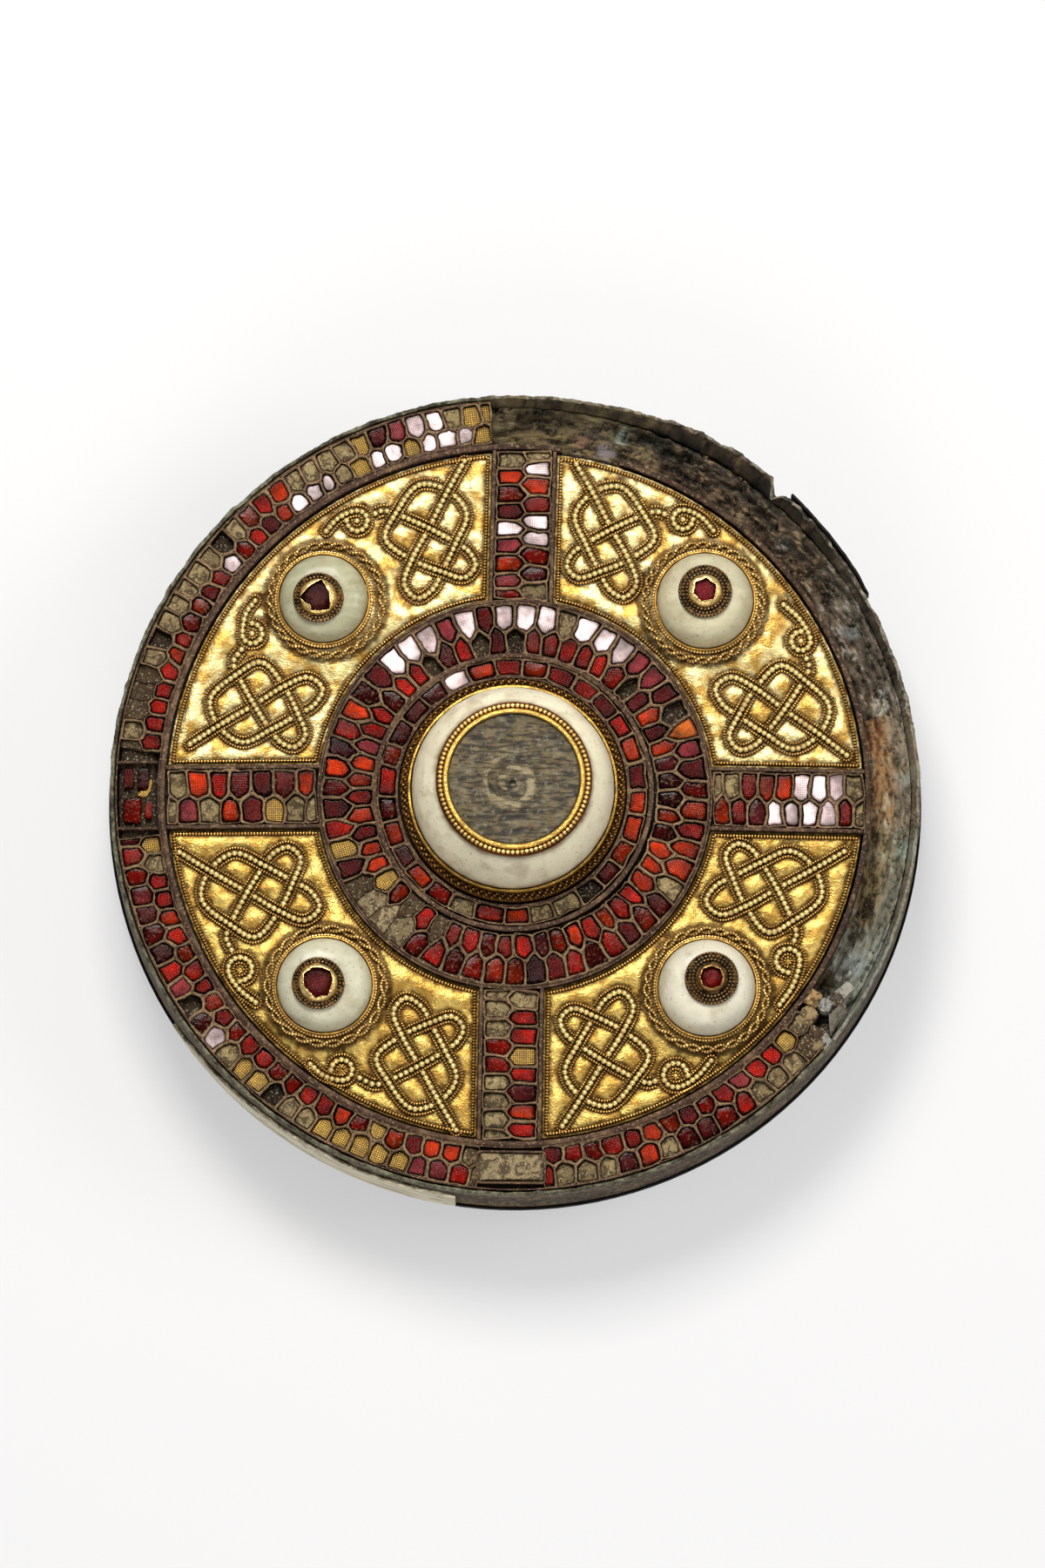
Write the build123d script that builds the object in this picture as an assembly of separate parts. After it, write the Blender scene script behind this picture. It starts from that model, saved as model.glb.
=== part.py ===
"""Disc brooch: a copper-alloy case that holds garnet cellwork, gold panels and shell bosses.

Millimetres, +Z up. The brooch lies face up on its pin fitting, with the middle of its face above the origin.
"""
import math
import os

from build123d import *

# Case: the round plate at the back and the thin side wall that stands on it
CASE_RADIUS = 39.5
CASE_WALL = 0.8
CASE_HEIGHT = 9.0
PLATE_THICKNESS = 0.9
PLATE_LIP = 0.25
SEAT_GAP = 0.06

# Bent and torn stretch of the side wall, where its edge leans out and stands taller
LEAN_START = 26.0
LEAN_SWEEP = 58.0
LEAN_STEP = 0.1
LEAN_OUT = 0.8
LEAN_RISE = 0.5
LEAN_DEPTH = 3.2
LEAN_STATION_COUNT = 9
TEAR_ANGLE = 50.0
TEAR_WIDTH = 2.4
TEAR_DEPTH = 1.1

# Pale strip that is left on the outside of the side wall
STRIP_START = 213.0
STRIP_SWEEP = 48.6
STRIP_THICKNESS = 0.35
STRIP_HEIGHT = 6.4

# Pin fitting under the plate: a hinge block, the pin and its catch
FITTING_DEPTH = 4.5
HINGE_WIDTH = 17.0
HINGE_LENGTH = 4.0
CATCH_WIDTH = 11.0
CATCH_LENGTH = 3.0
PIN_SPAN = 50.0
PIN_RADIUS = 0.9
PIN_TIP_LENGTH = 4.0

# Cellwork: thin walls on edge, with flat garnets between them on a bed of paste
CELL_DEPTH = 1.3
CELL_WALL = 0.3
CHANNEL_DEPTH = 4.0
GARNET_SINK = 0.2
GARNET_BEVEL = 0.16
PLAIN_WALL = 0.9

# Outer ring: the stretch from the top clockwise to the lower right is lost. Each row of pointed cells has its
# shoulders and its points at shares of the ring's width
OUTER_RING_WIDTH = 3.85
OUTER_CELL_COUNT = 27
OUTER_SHOULDER = 0.36
OUTER_POINT = 0.52
LOST_START = -38.0
LOST_SWEEP = 132.5
BLOCK_LENGTH = 6.4
BLOCK_MARGIN = 0.425
BLOCK_GAP = 0.4

# Cross: four arms between the outer wall and the middle ring, each leaning a little
ARM_ANGLES = {"right": -1.2, "top": 88.4, "left": 180.5, "bottom": 269.0}
ARM_WIDTH = 6.3
ARM_WALL = 0.45
ARM_CELL_COUNT = 8
ARM_POINT = 0.2
CROSS_INNER_WALL = 0.45

# Middle and inner rings round the centre
MIDDLE_RING_WIDTH = 5.45
MIDDLE_CELL_COUNT = 55
MIDDLE_START = 90.0
MIDDLE_SHOULDER = 0.4
MIDDLE_POINT = 0.6
INNER_RING_WIDTH = 2.4
INNER_CELL_COUNT = 30
INNER_START = 96.0

# Gold panels: sheet, beaded border, interlace of beaded wire and the seat of a small boss
SHEET_THICKNESS = 0.5
PANEL_GAP = 0.1
BORDER_WIDTH = 0.4
BORDER_HEIGHT = 0.35
STRAND_WIDTH = 1.25
STRAND_HEIGHT = 0.45
STRAND_STEP_COUNT = 72
STRAND_SPAN_COUNT = 6
SEAT_WALL = 0.35
SEAT_HEIGHT = 0.9
ROPE_WIDTH = 0.75
ROPE_HEIGHT = 0.4

# Small bosses: shell dome, gold cap with an open top, and a garnet inside it
SHELL_FOOT = 0.6
SHELL_SHOULDER = (0.25, 0.68)
SHELL_TOP_SLOPE = (-1, 0.2)
CAP_FLANGE = 0.5
CAP_FLANGE_WIDTH = 0.8
CAP_TUBE_WALL = 0.39
CAP_TUBE_HEIGHT = 1.15
BOSS_GARNET_RADIUS = 1.3
BOSS_GARNET_HEIGHT = 0.9

# Central boss: gold collar, tall shell, gold ring on top and a dark disc in it
CENTRE_SHIFT = (-0.2, 0.35)
CENTRE_SHELL_RADIUS = 9.85
CENTRE_SHELL_DRAW = 2.15
CENTRE_SHELL_SHOULDER = (0.3, 0.65)
CENTRE_TOP_SLOPE = (-1, 0.6)
CENTRE_HEIGHT = 7.0
COLLAR_WIDTH = 1.19
COLLAR_FOOT_HEIGHT = 1.0
COLLAR_WALL_HEIGHT = 2.3
CENTRE_RING_MARGIN = 0.25
CENTRE_RING_WALL = 1.05
CENTRE_RING_HEIGHT = 1.0
CENTRE_DISC_THICKNESS = 0.6
CENTRE_DISC_HOLE = 0.35
DISC_CIRCLE_SHARES = (0.85, 0.6, 0.35)
DISC_CIRCLE_WIDTH = 0.5
DISC_CIRCLE_HEIGHT = 0.15

# Levels above the surface that the brooch lies on
PLATE_TOP = FITTING_DEPTH + PLATE_THICKNESS
FACE = FITTING_DEPTH + CASE_HEIGHT
BED = FACE - CELL_DEPTH
GARNET_TOP = FACE - GARNET_SINK
CHANNEL_FLOOR = FACE - CHANNEL_DEPTH
SHEET_TOP = BED + SHEET_THICKNESS

# Radii that follow from the case inwards
OUTER_RING_RADIUS = CASE_RADIUS - CASE_WALL - SEAT_GAP
OUTER_RING_INNER = OUTER_RING_RADIUS - OUTER_RING_WIDTH
CROSS_RADIUS = OUTER_RING_INNER - SEAT_GAP
WINDOW_RADIUS = CROSS_RADIUS - PLAIN_WALL

# Radii that follow from the central shell outwards
COLLAR_RADIUS = CENTRE_SHELL_RADIUS + SEAT_GAP + COLLAR_WIDTH
DIVIDING_WALL_RADIUS = COLLAR_RADIUS + INNER_RING_WIDTH
MIDDLE_RADIUS = DIVIDING_WALL_RADIUS + MIDDLE_RING_WIDTH
CROSS_INNER = MIDDLE_RADIUS + SEAT_GAP
WINDOW_INNER = CROSS_INNER + CROSS_INNER_WALL
PANEL_DEPTH = WINDOW_RADIUS - WINDOW_INNER

# Radii on top of the bosses
CAP_TUBE_RADIUS = BOSS_GARNET_RADIUS + SEAT_GAP + CAP_TUBE_WALL
CAP_RADIUS = CAP_TUBE_RADIUS + CAP_FLANGE_WIDTH
CENTRE_SHELL_TOP_RADIUS = CENTRE_SHELL_RADIUS - CENTRE_SHELL_DRAW
CENTRE_RING_RADIUS = CENTRE_SHELL_TOP_RADIUS - CENTRE_RING_MARGIN

# Small bosses by panel: share of the panel's depth and angle of the place, radius and height of the shell,
# and how far the cap sits off its middle along X and Y
BOSSES = {
    "upper_left": {"reach": 0.521, "angle": 133.9, "radius": 4.3, "height": 2.9, "cap_shift": (-0.3, -0.45)},
    "upper_right": {"reach": 0.501, "angle": 45.8, "radius": 4.7, "height": 3.6, "cap_shift": (-0.15, 0.1)},
    "lower_left": {"reach": 0.481, "angle": 225.5, "radius": 4.65, "height": 3.0, "cap_shift": (-0.3, -0.35)},
    "lower_right": {"reach": 0.501, "angle": 314.2, "radius": 4.75, "height": 3.5, "cap_shift": (0.25, 0.1)},
}
QUADRANTS = {"upper_left": (-1, 1), "upper_right": (1, 1), "lower_left": (-1, -1), "lower_right": (1, -1)}

# Interlace, from the tail that points at the panel's corner to the neck of the curl. A place is given as a
# share of the panel's depth and the angle from the middle of the arm that the knot lies beside
KNOT_POINTS = {
    "tail": (0.939, 9.0), "cross_1": (0.768, 13.1), "cross_2": (0.568, 19.0), "cross_3": (0.423, 25.0),
    "loop_1": (0.298, 29.5), "loop_2": (0.173, 28.5), "loop_3": (0.177, 23.8), "cross_4": (0.260, 20.1),
    "cross_5": (0.411, 14.8), "bend_1": (0.583, 10.9), "bend_2": (0.869, 17.6), "cross_6": (0.751, 23.7),
    "bend_3": (0.637, 27.7), "loop_4": (0.167, 15.3), "loop_5": (0.224, 12.0), "loop_6": (0.326, 12.5),
    "neck": (0.812, 25.4), "neck_end": (0.797, 28.2),
}
KNOT_ROUTE = (
    "tail", "cross_1", "cross_2", "cross_3", "loop_1", "loop_2", "loop_3", "cross_4", "cross_5", "bend_1",
    "cross_1", "bend_2", "cross_6", "bend_3", "cross_3", "cross_4", "loop_4", "loop_5", "loop_6", "cross_5",
    "cross_2", "cross_6", "neck", "neck_end",
)
CURL_RADIUS = 1.08
CURL_LOOP = (0.831, 30.8)
CURL_TAIL = (0.907, 36.7)

# Fields of cells whose stone is lost, by its number in the row
OUTER_EMPTY = {
    "upper_left": (2, 3, 9, 14, 20, 24, 25),
    "lower_left": (1, 8, 13, 19, 22, 23),
    "lower_right": (15, 16, 18, 22, 25),
}
MIDDLE_EMPTY = (2, 9, 24, 42, 43, 44, 49)
INNER_EMPTY = (13, 14)

# Solids that stand on the level at which they are placed
BASE = (Align.CENTER, Align.CENTER, Align.MIN)


def polar(radius, angle):
    """Point at a radius about the brooch's axis, with the angle in degrees."""
    return radius * math.cos(math.radians(angle)), radius * math.sin(math.radians(angle))


def turned(point, angle):
    """Point turned about the brooch's axis."""
    c, s = math.cos(math.radians(angle)), math.sin(math.radians(angle))
    return point[0] * c - point[1] * s, point[0] * s + point[1] * c


def counterclockwise(points):
    """The corners in counterclockwise order."""
    area = sum(a[0] * b[1] - b[0] * a[1] for a, b in zip(points, points[1:] + points[:1]))
    return points if area > 0 else points[::-1]


def inset(points, distance):
    """Corners of a convex outline after each side moves inwards by the distance."""
    lines = []
    corners = counterclockwise(points)
    for (ax, ay), (bx, by) in zip(corners, corners[1:] + corners[:1]):
        length = math.hypot(bx - ax, by - ay)
        ux, uy = (bx - ax) / length, (by - ay) / length
        lines.append((ax - uy * distance, ay + ux * distance, ux, uy))
    moved = []
    for (ax, ay, ux, uy), (bx, by, vx, vy) in zip(lines[-1:] + lines[:-1], lines):
        along = ((bx - ax) * vy - (by - ay) * vx) / (ux * vy - uy * vx)
        moved.append((ax + ux * along, ay + uy * along))
    return moved


def outline(points):
    """Flat face with the given corners."""
    return Polygon(*counterclockwise(points), align=None)


def ring_sector(inner, outer, start, sweep):
    """Flat stretch of a ring between two radii."""
    ends = [Line(polar(inner, angle), polar(outer, angle)) for angle in (start, start + sweep)]
    arcs = [CenterArc((0, 0), radius, start, sweep) for radius in (inner, outer)]
    return make_face(arcs + ends)


def raised(face, base, height):
    """Flat face made solid between a level and a height above it."""
    return extrude(Pos(0, 0, base) * face, height, dir=(0, 0, 1))


def ring_cells(count, start, sweep, base, shoulder, peak):
    """Outlines of a row of cells on a ring, each with a straight base and a pointed far end."""
    pitch = sweep / count
    cells = []
    for number in range(count):
        middle = start + pitch * (number + 0.5)
        near, far = middle - pitch / 2, middle + pitch / 2
        cells.append([polar(base, near), polar(base, far), polar(shoulder, far), polar(peak, middle),
                      polar(shoulder, near)])
    return cells


def arm_cells(angle):
    """Outlines of the two interlocking rows of cells along one arm."""
    start = WINDOW_INNER + CELL_WALL
    pitch = (WINDOW_RADIUS - start) / ARM_CELL_COUNT
    edge = ARM_WIDTH / 2 - ARM_WALL + CELL_WALL / 2
    bite = pitch * ARM_POINT
    cells = []
    for side, count, shift in ((-1, ARM_CELL_COUNT, 0.0), (1, ARM_CELL_COUNT - 1, 0.5)):
        for number in range(count):
            near = start + pitch * (number + shift)
            far, middle = near + pitch, near + pitch / 2
            corners = [(near, side * edge), (far, side * edge), (far, side * bite), (middle, -side * bite),
                       (near, side * bite)]
            cells.append([turned(corner, angle) for corner in corners])
    return cells


def garnets(cells):
    """Loose flat garnets with a bevelled edge, one for each cell, on the bed of paste."""
    stones = []
    for cell in cells:
        girdle = inset(cell, CELL_WALL / 2 + SEAT_GAP)
        levels = {BED: girdle, GARNET_TOP - GARNET_BEVEL: girdle, GARNET_TOP: inset(girdle, GARNET_BEVEL)}
        sections = [(Pos(0, 0, level) * outline(corners)).face() for level, corners in levels.items()]
        stones.append(loft(sections, ruled=True).solid())
    return Compound(children=stones)


def cellwork(region, cells):
    """Soldered network of walls: a flat region with its cells cut through."""
    holes = [outline(inset(cell, CELL_WALL / 2)) for cell in cells]
    return raised(region - holes, BED, CELL_DEPTH)


def without(cells, lost):
    """The cells that still hold a stone."""
    return [cell for number, cell in enumerate(cells) if number not in lost]


def outer_quadrants():
    """Start and sweep of each stretch of outer ring that is left, between the blocks at the arms' ends."""
    half_block = math.degrees((BLOCK_LENGTH / 2 + BLOCK_GAP) / OUTER_RING_RADIUS)
    top, left, bottom, right = (ARM_ANGLES[name] for name in ("top", "left", "bottom", "right"))
    spans = {"upper_left": (top, left), "lower_left": (left, bottom), "lower_right": (bottom, right + 360)}
    return {name: (start + half_block, end - start - 2 * half_block) for name, (start, end) in spans.items()}


def outer_cells():
    """Outlines of the inner row of cells of the outer ring, by quadrant, as far as the ring is left."""
    base = OUTER_RING_INNER + CELL_WALL
    shoulder, point = base + OUTER_RING_WIDTH * OUTER_SHOULDER, base + OUTER_RING_WIDTH * OUTER_POINT
    quadrants = {}
    for name, (start, sweep) in outer_quadrants().items():
        cells = ring_cells(OUTER_CELL_COUNT, start, sweep, base, shoulder, point)
        margin = sweep / OUTER_CELL_COUNT / 2
        middles = [start + margin * (2 * number + 1) for number in range(OUTER_CELL_COUNT)]
        quadrants[name] = [cell for cell, middle in zip(cells, middles)
                           if LOST_START + LOST_SWEEP + margin < middle < LOST_START + 360 - margin]
    return quadrants


def block(name):
    """Outline of the rectangular block in the outer ring at the end of an arm."""
    near, far = OUTER_RING_INNER + BLOCK_MARGIN, OUTER_RING_RADIUS - BLOCK_MARGIN
    half = BLOCK_LENGTH / 2
    corners = [(near, -half), (far, -half), (far, half), (near, half)]
    return [turned(corner, ARM_ANGLES[name]) for corner in corners]


def back_plate():
    """Plate that closes the case at the back, standing a little proud of the side wall."""
    return Pos(0, 0, FITTING_DEPTH) * Cylinder(CASE_RADIUS + PLATE_LIP, PLATE_THICKNESS, align=BASE)


def side_wall():
    """Thin side wall, with the stretch at the upper right bent out, taller and torn."""
    wall = raised(Circle(CASE_RADIUS) - Circle(CASE_RADIUS - CASE_WALL), PLATE_TOP, FACE - PLATE_TOP)
    outside = []
    for station in range(LEAN_STATION_COUNT):
        share = station / (LEAN_STATION_COUNT - 1)
        lean = LEAN_STEP + LEAN_OUT * math.sin(math.pi * share) ** 2
        outside.append(polar(CASE_RADIUS + lean, LEAN_START + LEAN_SWEEP * share))
    inner = CASE_RADIUS - CASE_WALL / 2
    inside = CenterArc((0, 0), inner, LEAN_START, LEAN_SWEEP)
    near, far = polar(inner, LEAN_START), polar(inner, LEAN_START + LEAN_SWEEP)
    leaning = make_face([Spline(*outside), inside, Line(near, outside[0]), Line(far, outside[-1])])
    bent = wall + raised(leaning, FACE - LEAN_DEPTH, LEAN_DEPTH + LEAN_RISE)
    tear = Box(2 * (CASE_WALL + LEAN_OUT), TEAR_WIDTH, TEAR_DEPTH + 2 * LEAN_RISE, align=BASE)
    return bent - Rot(0, 0, TEAR_ANGLE) * Pos(CASE_RADIUS, 0, FACE - TEAR_DEPTH) * tear


def side_strip():
    """Pale strip on the outside of the side wall."""
    inner = CASE_RADIUS + SEAT_GAP
    band = ring_sector(inner, inner + STRIP_THICKNESS, STRIP_START, STRIP_SWEEP)
    return raised(band, PLATE_TOP, STRIP_HEIGHT)


def filling():
    """Paste that fills the case, lower where the outer ring is lost."""
    whole = raised(Circle(OUTER_RING_RADIUS), PLATE_TOP, CHANNEL_FLOOR - PLATE_TOP)
    core = raised(Circle(CROSS_RADIUS), CHANNEL_FLOOR, BED - CHANNEL_FLOOR)
    kept = ring_sector(CROSS_RADIUS - CASE_WALL, OUTER_RING_RADIUS, LOST_START + LOST_SWEEP, 360 - LOST_SWEEP)
    return whole + core + raised(kept, CHANNEL_FLOOR, BED - CHANNEL_FLOOR)


def outer_cellwork(cells):
    """Network of the outer ring, as far as it is left."""
    region = ring_sector(OUTER_RING_INNER, OUTER_RING_RADIUS, LOST_START + LOST_SWEEP, 360 - LOST_SWEEP)
    blocks = [block("left"), block("bottom")]
    return cellwork(region, [cell for row in cells.values() for cell in row] + blocks)


def windows():
    """The four openings of the cross, between its arms, that the gold panels fill."""
    arms = [Rot(0, 0, angle) * Rectangle(CROSS_RADIUS, ARM_WIDTH, align=(Align.MIN, Align.CENTER))
            for angle in ARM_ANGLES.values()]
    return Circle(WINDOW_RADIUS) - Circle(WINDOW_INNER) - arms


def cross_cellwork(cells):
    """Network of the cross: outer wall, four arms and the wall round the middle ring."""
    return cellwork(Circle(CROSS_RADIUS) - windows() - Circle(CROSS_INNER), cells)


def middle_row():
    """Outlines of the outer row of cells of the middle ring, clockwise from the top."""
    base = MIDDLE_RADIUS - CELL_WALL
    depth = base - DIVIDING_WALL_RADIUS - PLAIN_WALL / 2
    shoulder, point = base - depth * MIDDLE_SHOULDER, base - depth * MIDDLE_POINT
    return ring_cells(MIDDLE_CELL_COUNT, MIDDLE_START, -360, base, shoulder, point)


def inner_row():
    """Outlines of the almost rectangular cells of the inner ring, clockwise from the top."""
    outer = DIVIDING_WALL_RADIUS - PLAIN_WALL / 2
    inner = COLLAR_RADIUS + CELL_WALL
    return ring_cells(INNER_CELL_COUNT, INNER_START, -360, outer, inner + CELL_WALL, inner)


def middle_cellwork(cells):
    """Network of the middle and inner rings with the plain wall between them."""
    return cellwork(Circle(MIDDLE_RADIUS) - Circle(COLLAR_RADIUS + SEAT_GAP), cells)


def panel_place(reach, angle):
    """Point in a gold panel, at a share of the panel's depth and an angle about the brooch's axis."""
    return polar(WINDOW_INNER + PANEL_DEPTH * reach, angle)


def knot_place(place, quadrant, beside_top):
    """Place of an interlace point in its quadrant, beside the upright or the level arm."""
    along, across = panel_place(*place)
    x, y = (across, along) if beside_top else (along, across)
    return x * quadrant[0], y * quadrant[1]


def strand(points):
    """Flat ribbon shapes along a smooth line through the points, in spans that don't cross themselves."""
    line = Spline(*points)
    left, right = [], []
    for step in range(STRAND_STEP_COUNT + 1):
        place, way = line @ (step / STRAND_STEP_COUNT), line % (step / STRAND_STEP_COUNT)
        side = Vector(-way.Y, way.X) * (STRAND_WIDTH / 2)
        left.append(((place + side).X, (place + side).Y))
        right.append(((place - side).X, (place - side).Y))
    length = STRAND_STEP_COUNT // STRAND_SPAN_COUNT
    spans = [slice(first, first + length + 1) for first in range(0, STRAND_STEP_COUNT, length)]
    return [outline(left[span] + right[span][::-1]) for span in spans]


def curl(loop, tail):
    """Flat ribbon shapes of a small ring with a straight tail."""
    half = STRAND_WIDTH / 2
    ring = Pos(*loop) * (Circle(CURL_RADIUS + half) - Circle(CURL_RADIUS - half))
    reach = Vector(*tail) - Vector(*loop)
    side = Vector(-reach.Y, reach.X).normalized() * half
    near = Vector(*loop) + reach.normalized() * CURL_RADIUS
    corners = [near - side, Vector(*tail) - side, Vector(*tail) + side, near + side]
    return [ring, outline([(corner.X, corner.Y) for corner in corners]), Pos(*tail) * Circle(half)]


def gold_panel(boss, quadrant):
    """Gold panel: sheet with a raised border, two interlaces, two curls and the seat of its boss."""
    window = [face for face in windows().faces()
              if face.center().X * quadrant[0] > 0 and face.center().Y * quadrant[1] > 0][0]
    sheet = offset(window, -PANEL_GAP)
    border = sheet - offset(sheet, -BORDER_WIDTH)
    seat = Pos(*panel_place(boss["reach"], boss["angle"]))
    inner = boss["radius"] + SEAT_GAP
    wall = seat * (Circle(inner + SEAT_WALL) - Circle(inner))
    rope = seat * (Circle(inner + SEAT_WALL + ROPE_WIDTH) - Circle(inner + SEAT_WALL / 2))
    panel = raised(sheet, BED, SHEET_THICKNESS) + raised(border, SHEET_TOP, BORDER_HEIGHT)
    panel += raised(wall, SHEET_TOP, SEAT_HEIGHT)
    panel += raised(rope, SHEET_TOP, ROPE_HEIGHT)
    ribbons = []
    for beside_top in (False, True):
        route = [knot_place(KNOT_POINTS[name], quadrant, beside_top) for name in KNOT_ROUTE]
        loop, tail = (knot_place(place, quadrant, beside_top) for place in (CURL_LOOP, CURL_TAIL))
        ribbons += strand(route) + curl(loop, tail)
    return panel + [raised(ribbon, SHEET_TOP, STRAND_HEIGHT) for ribbon in ribbons]


def shell_profile(radius, foot, top_radius, top, shoulder, top_tangent):
    """Half section of a shell dome: upright foot, curved side through its shoulder, and a flat top."""
    shoulder_x = radius - (radius - top_radius) * shoulder[0]
    shoulder_z = foot + (top - foot) * shoulder[1]
    side = Spline((radius, foot), (shoulder_x, shoulder_z), (top_radius, top), tangents=((0, 1), top_tangent))
    return make_face([Line((0, 0), (radius, 0)), Line((radius, 0), (radius, foot)), side,
                      Line((top_radius, top), (0, top)), Line((0, top), (0, 0))])


def shell_boss(boss):
    """Shell dome in its gold seat, flattened on top to carry the cap."""
    flat = CAP_RADIUS + max(abs(shift) for shift in boss["cap_shift"]) + SEAT_GAP
    profile = shell_profile(boss["radius"], SHELL_FOOT, flat, boss["height"], SHELL_SHOULDER, SHELL_TOP_SLOPE)
    place = panel_place(boss["reach"], boss["angle"])
    return Pos(*place, SHEET_TOP) * revolve(Plane.XZ * profile, Axis.Z)


def cap_place(boss, level):
    """Place of a boss's cap at a level above its shell's flat top."""
    (x, y), (shift_x, shift_y) = panel_place(boss["reach"], boss["angle"]), boss["cap_shift"]
    return Pos(x + shift_x, y + shift_y, SHEET_TOP + boss["height"] + level)


def boss_cap(boss):
    """Gold cap on a small boss: a flat flange and a tube that is open at the top."""
    flange = Cylinder(CAP_RADIUS, CAP_FLANGE, align=BASE)
    tube = Cylinder(CAP_TUBE_RADIUS, CAP_TUBE_HEIGHT, align=BASE)
    well = Pos(0, 0, CAP_FLANGE / 2) * Cylinder(BOSS_GARNET_RADIUS + SEAT_GAP, CAP_TUBE_HEIGHT, align=BASE)
    cap = flange + tube
    rounded = fillet(cap.edges().filter_by(GeomType.CIRCLE).sort_by(Axis.Z)[-1], CAP_FLANGE / 2)
    return cap_place(boss, 0) * (rounded - well)


def boss_garnet(boss):
    """Round garnet with a domed top, in the cap of a small boss."""
    stone = Cylinder(BOSS_GARNET_RADIUS, BOSS_GARNET_HEIGHT, align=BASE)
    domed = fillet(stone.edges().filter_by(GeomType.CIRCLE).sort_by(Axis.Z)[-1], BOSS_GARNET_HEIGHT / 3)
    return cap_place(boss, CAP_FLANGE / 2) * domed


def centre_collar():
    """Gold collar round the foot of the central shell: a flat foot and an upright wall."""
    inner = CENTRE_SHELL_RADIUS + SEAT_GAP
    wall = Circle(inner + SEAT_WALL) - Circle(inner)
    foot = Circle(COLLAR_RADIUS - math.hypot(*CENTRE_SHIFT)) - Circle(inner)
    collar = raised(wall, BED, COLLAR_WALL_HEIGHT) + raised(foot, BED, COLLAR_FOOT_HEIGHT)
    return Pos(*CENTRE_SHIFT) * collar


def centre_shell():
    """Tall shell boss in the middle, drawn in towards its flat top."""
    profile = shell_profile(CENTRE_SHELL_RADIUS, COLLAR_WALL_HEIGHT, CENTRE_SHELL_TOP_RADIUS,
                            CELL_DEPTH + CENTRE_HEIGHT, CENTRE_SHELL_SHOULDER, CENTRE_TOP_SLOPE)
    return Pos(*CENTRE_SHIFT, BED) * revolve(Plane.XZ * profile, Axis.Z)


def centre_ring():
    """Gold ring on the flat top of the central shell."""
    ring = Circle(CENTRE_RING_RADIUS) - Circle(CENTRE_RING_RADIUS - CENTRE_RING_WALL)
    return Pos(*CENTRE_SHIFT) * raised(ring, FACE + CENTRE_HEIGHT, CENTRE_RING_HEIGHT)


def centre_disc():
    """Dark disc inside the ring on top, with raised circles and a small hole in the middle."""
    radius = CENTRE_RING_RADIUS - CENTRE_RING_WALL - SEAT_GAP
    disc = Cylinder(radius, CENTRE_DISC_THICKNESS, align=BASE)
    for share in DISC_CIRCLE_SHARES:
        circle = Circle(radius * share) - Circle(radius * share - DISC_CIRCLE_WIDTH)
        disc += raised(circle, CENTRE_DISC_THICKNESS, DISC_CIRCLE_HEIGHT)
    disc -= Cylinder(CENTRE_DISC_HOLE, CENTRE_DISC_THICKNESS * 3)
    return Pos(*CENTRE_SHIFT, FACE + CENTRE_HEIGHT) * disc


def pin_fitting():
    """Hinge block, pin and catch in one piece under the plate."""
    hinge = Box(HINGE_WIDTH, HINGE_LENGTH, FITTING_DEPTH, align=BASE)
    catch = Box(CATCH_WIDTH, CATCH_LENGTH, FITTING_DEPTH, align=BASE)
    hinge = fillet(hinge.edges().filter_by(Axis.Z), HINGE_LENGTH / 4)
    catch = fillet(catch.edges().filter_by(Axis.Z), CATCH_LENGTH / 4)
    shaft = Rot(-90, 0, 0) * Cylinder(PIN_RADIUS, PIN_SPAN, align=BASE)
    tip = Pos(0, PIN_SPAN) * Rot(-90, 0, 0) * Cone(PIN_RADIUS, PIN_RADIUS / 3, PIN_TIP_LENGTH, align=BASE)
    pin = Pos(0, 0, FITTING_DEPTH / 2) * (shaft + tip)
    return Pos(0, -PIN_SPAN / 2) * (hinge + Pos(0, PIN_SPAN) * catch + pin)


def pieces():
    """Every piece of the brooch by its name."""
    outer, middle, inner = outer_cells(), middle_row(), inner_row()
    arms = [cell for angle in ARM_ANGLES.values() for cell in arm_cells(angle)]
    outer_stones = [cell for name, row in outer.items() for cell in without(row, OUTER_EMPTY[name])]
    made = {
        "back_plate": back_plate(),
        "side_wall": side_wall(),
        "side_strip": side_strip(),
        "filling": filling(),
        "pin_fitting": pin_fitting(),
        "outer_cellwork": outer_cellwork(outer),
        "outer_garnets": garnets(outer_stones),
        "cross_cellwork": cross_cellwork(arms),
        "arm_garnets": garnets(arms),
        "middle_cellwork": middle_cellwork(middle + inner),
        "middle_garnets": garnets(without(middle, MIDDLE_EMPTY)),
        "inner_garnets": garnets(without(inner, INNER_EMPTY)),
        "block_garnet": garnets([block("left")]),
        "block_paste": garnets([block("bottom")]),
        "centre_collar": centre_collar(),
        "centre_shell": centre_shell(),
        "centre_ring": centre_ring(),
        "centre_disc": centre_disc(),
    }
    for name, quadrant in QUADRANTS.items():
        boss = BOSSES[name]
        made["gold_panel_" + name] = gold_panel(boss, quadrant)
        made["shell_boss_" + name] = shell_boss(boss)
        made["boss_cap_" + name] = boss_cap(boss)
        made["boss_garnet_" + name] = boss_garnet(boss)
    return made


os.makedirs("parts", exist_ok=True)
for node, piece in pieces().items():
    export_step(piece, os.path.join("parts", node + ".step"))
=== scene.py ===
"""Disc brooch with garnet cellwork, gold filigree panels and shell bosses, dressed round its CAD frame.

Lengths in this script are millimetres and angles are degrees, counterclockwise from the right arm, unless a
docstring says otherwise. The middle of the brooch is on the Z axis, and levels are heights over the surface
that it lies on. Meshes are written in metres.
"""
from __future__ import annotations

import logging
import math
import random
from dataclasses import dataclass, field
from enum import Enum
from typing import Any, Callable, Sequence, Union

import bmesh
import bpy
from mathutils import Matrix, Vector, noise
from mathutils.kdtree import KDTree

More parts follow.
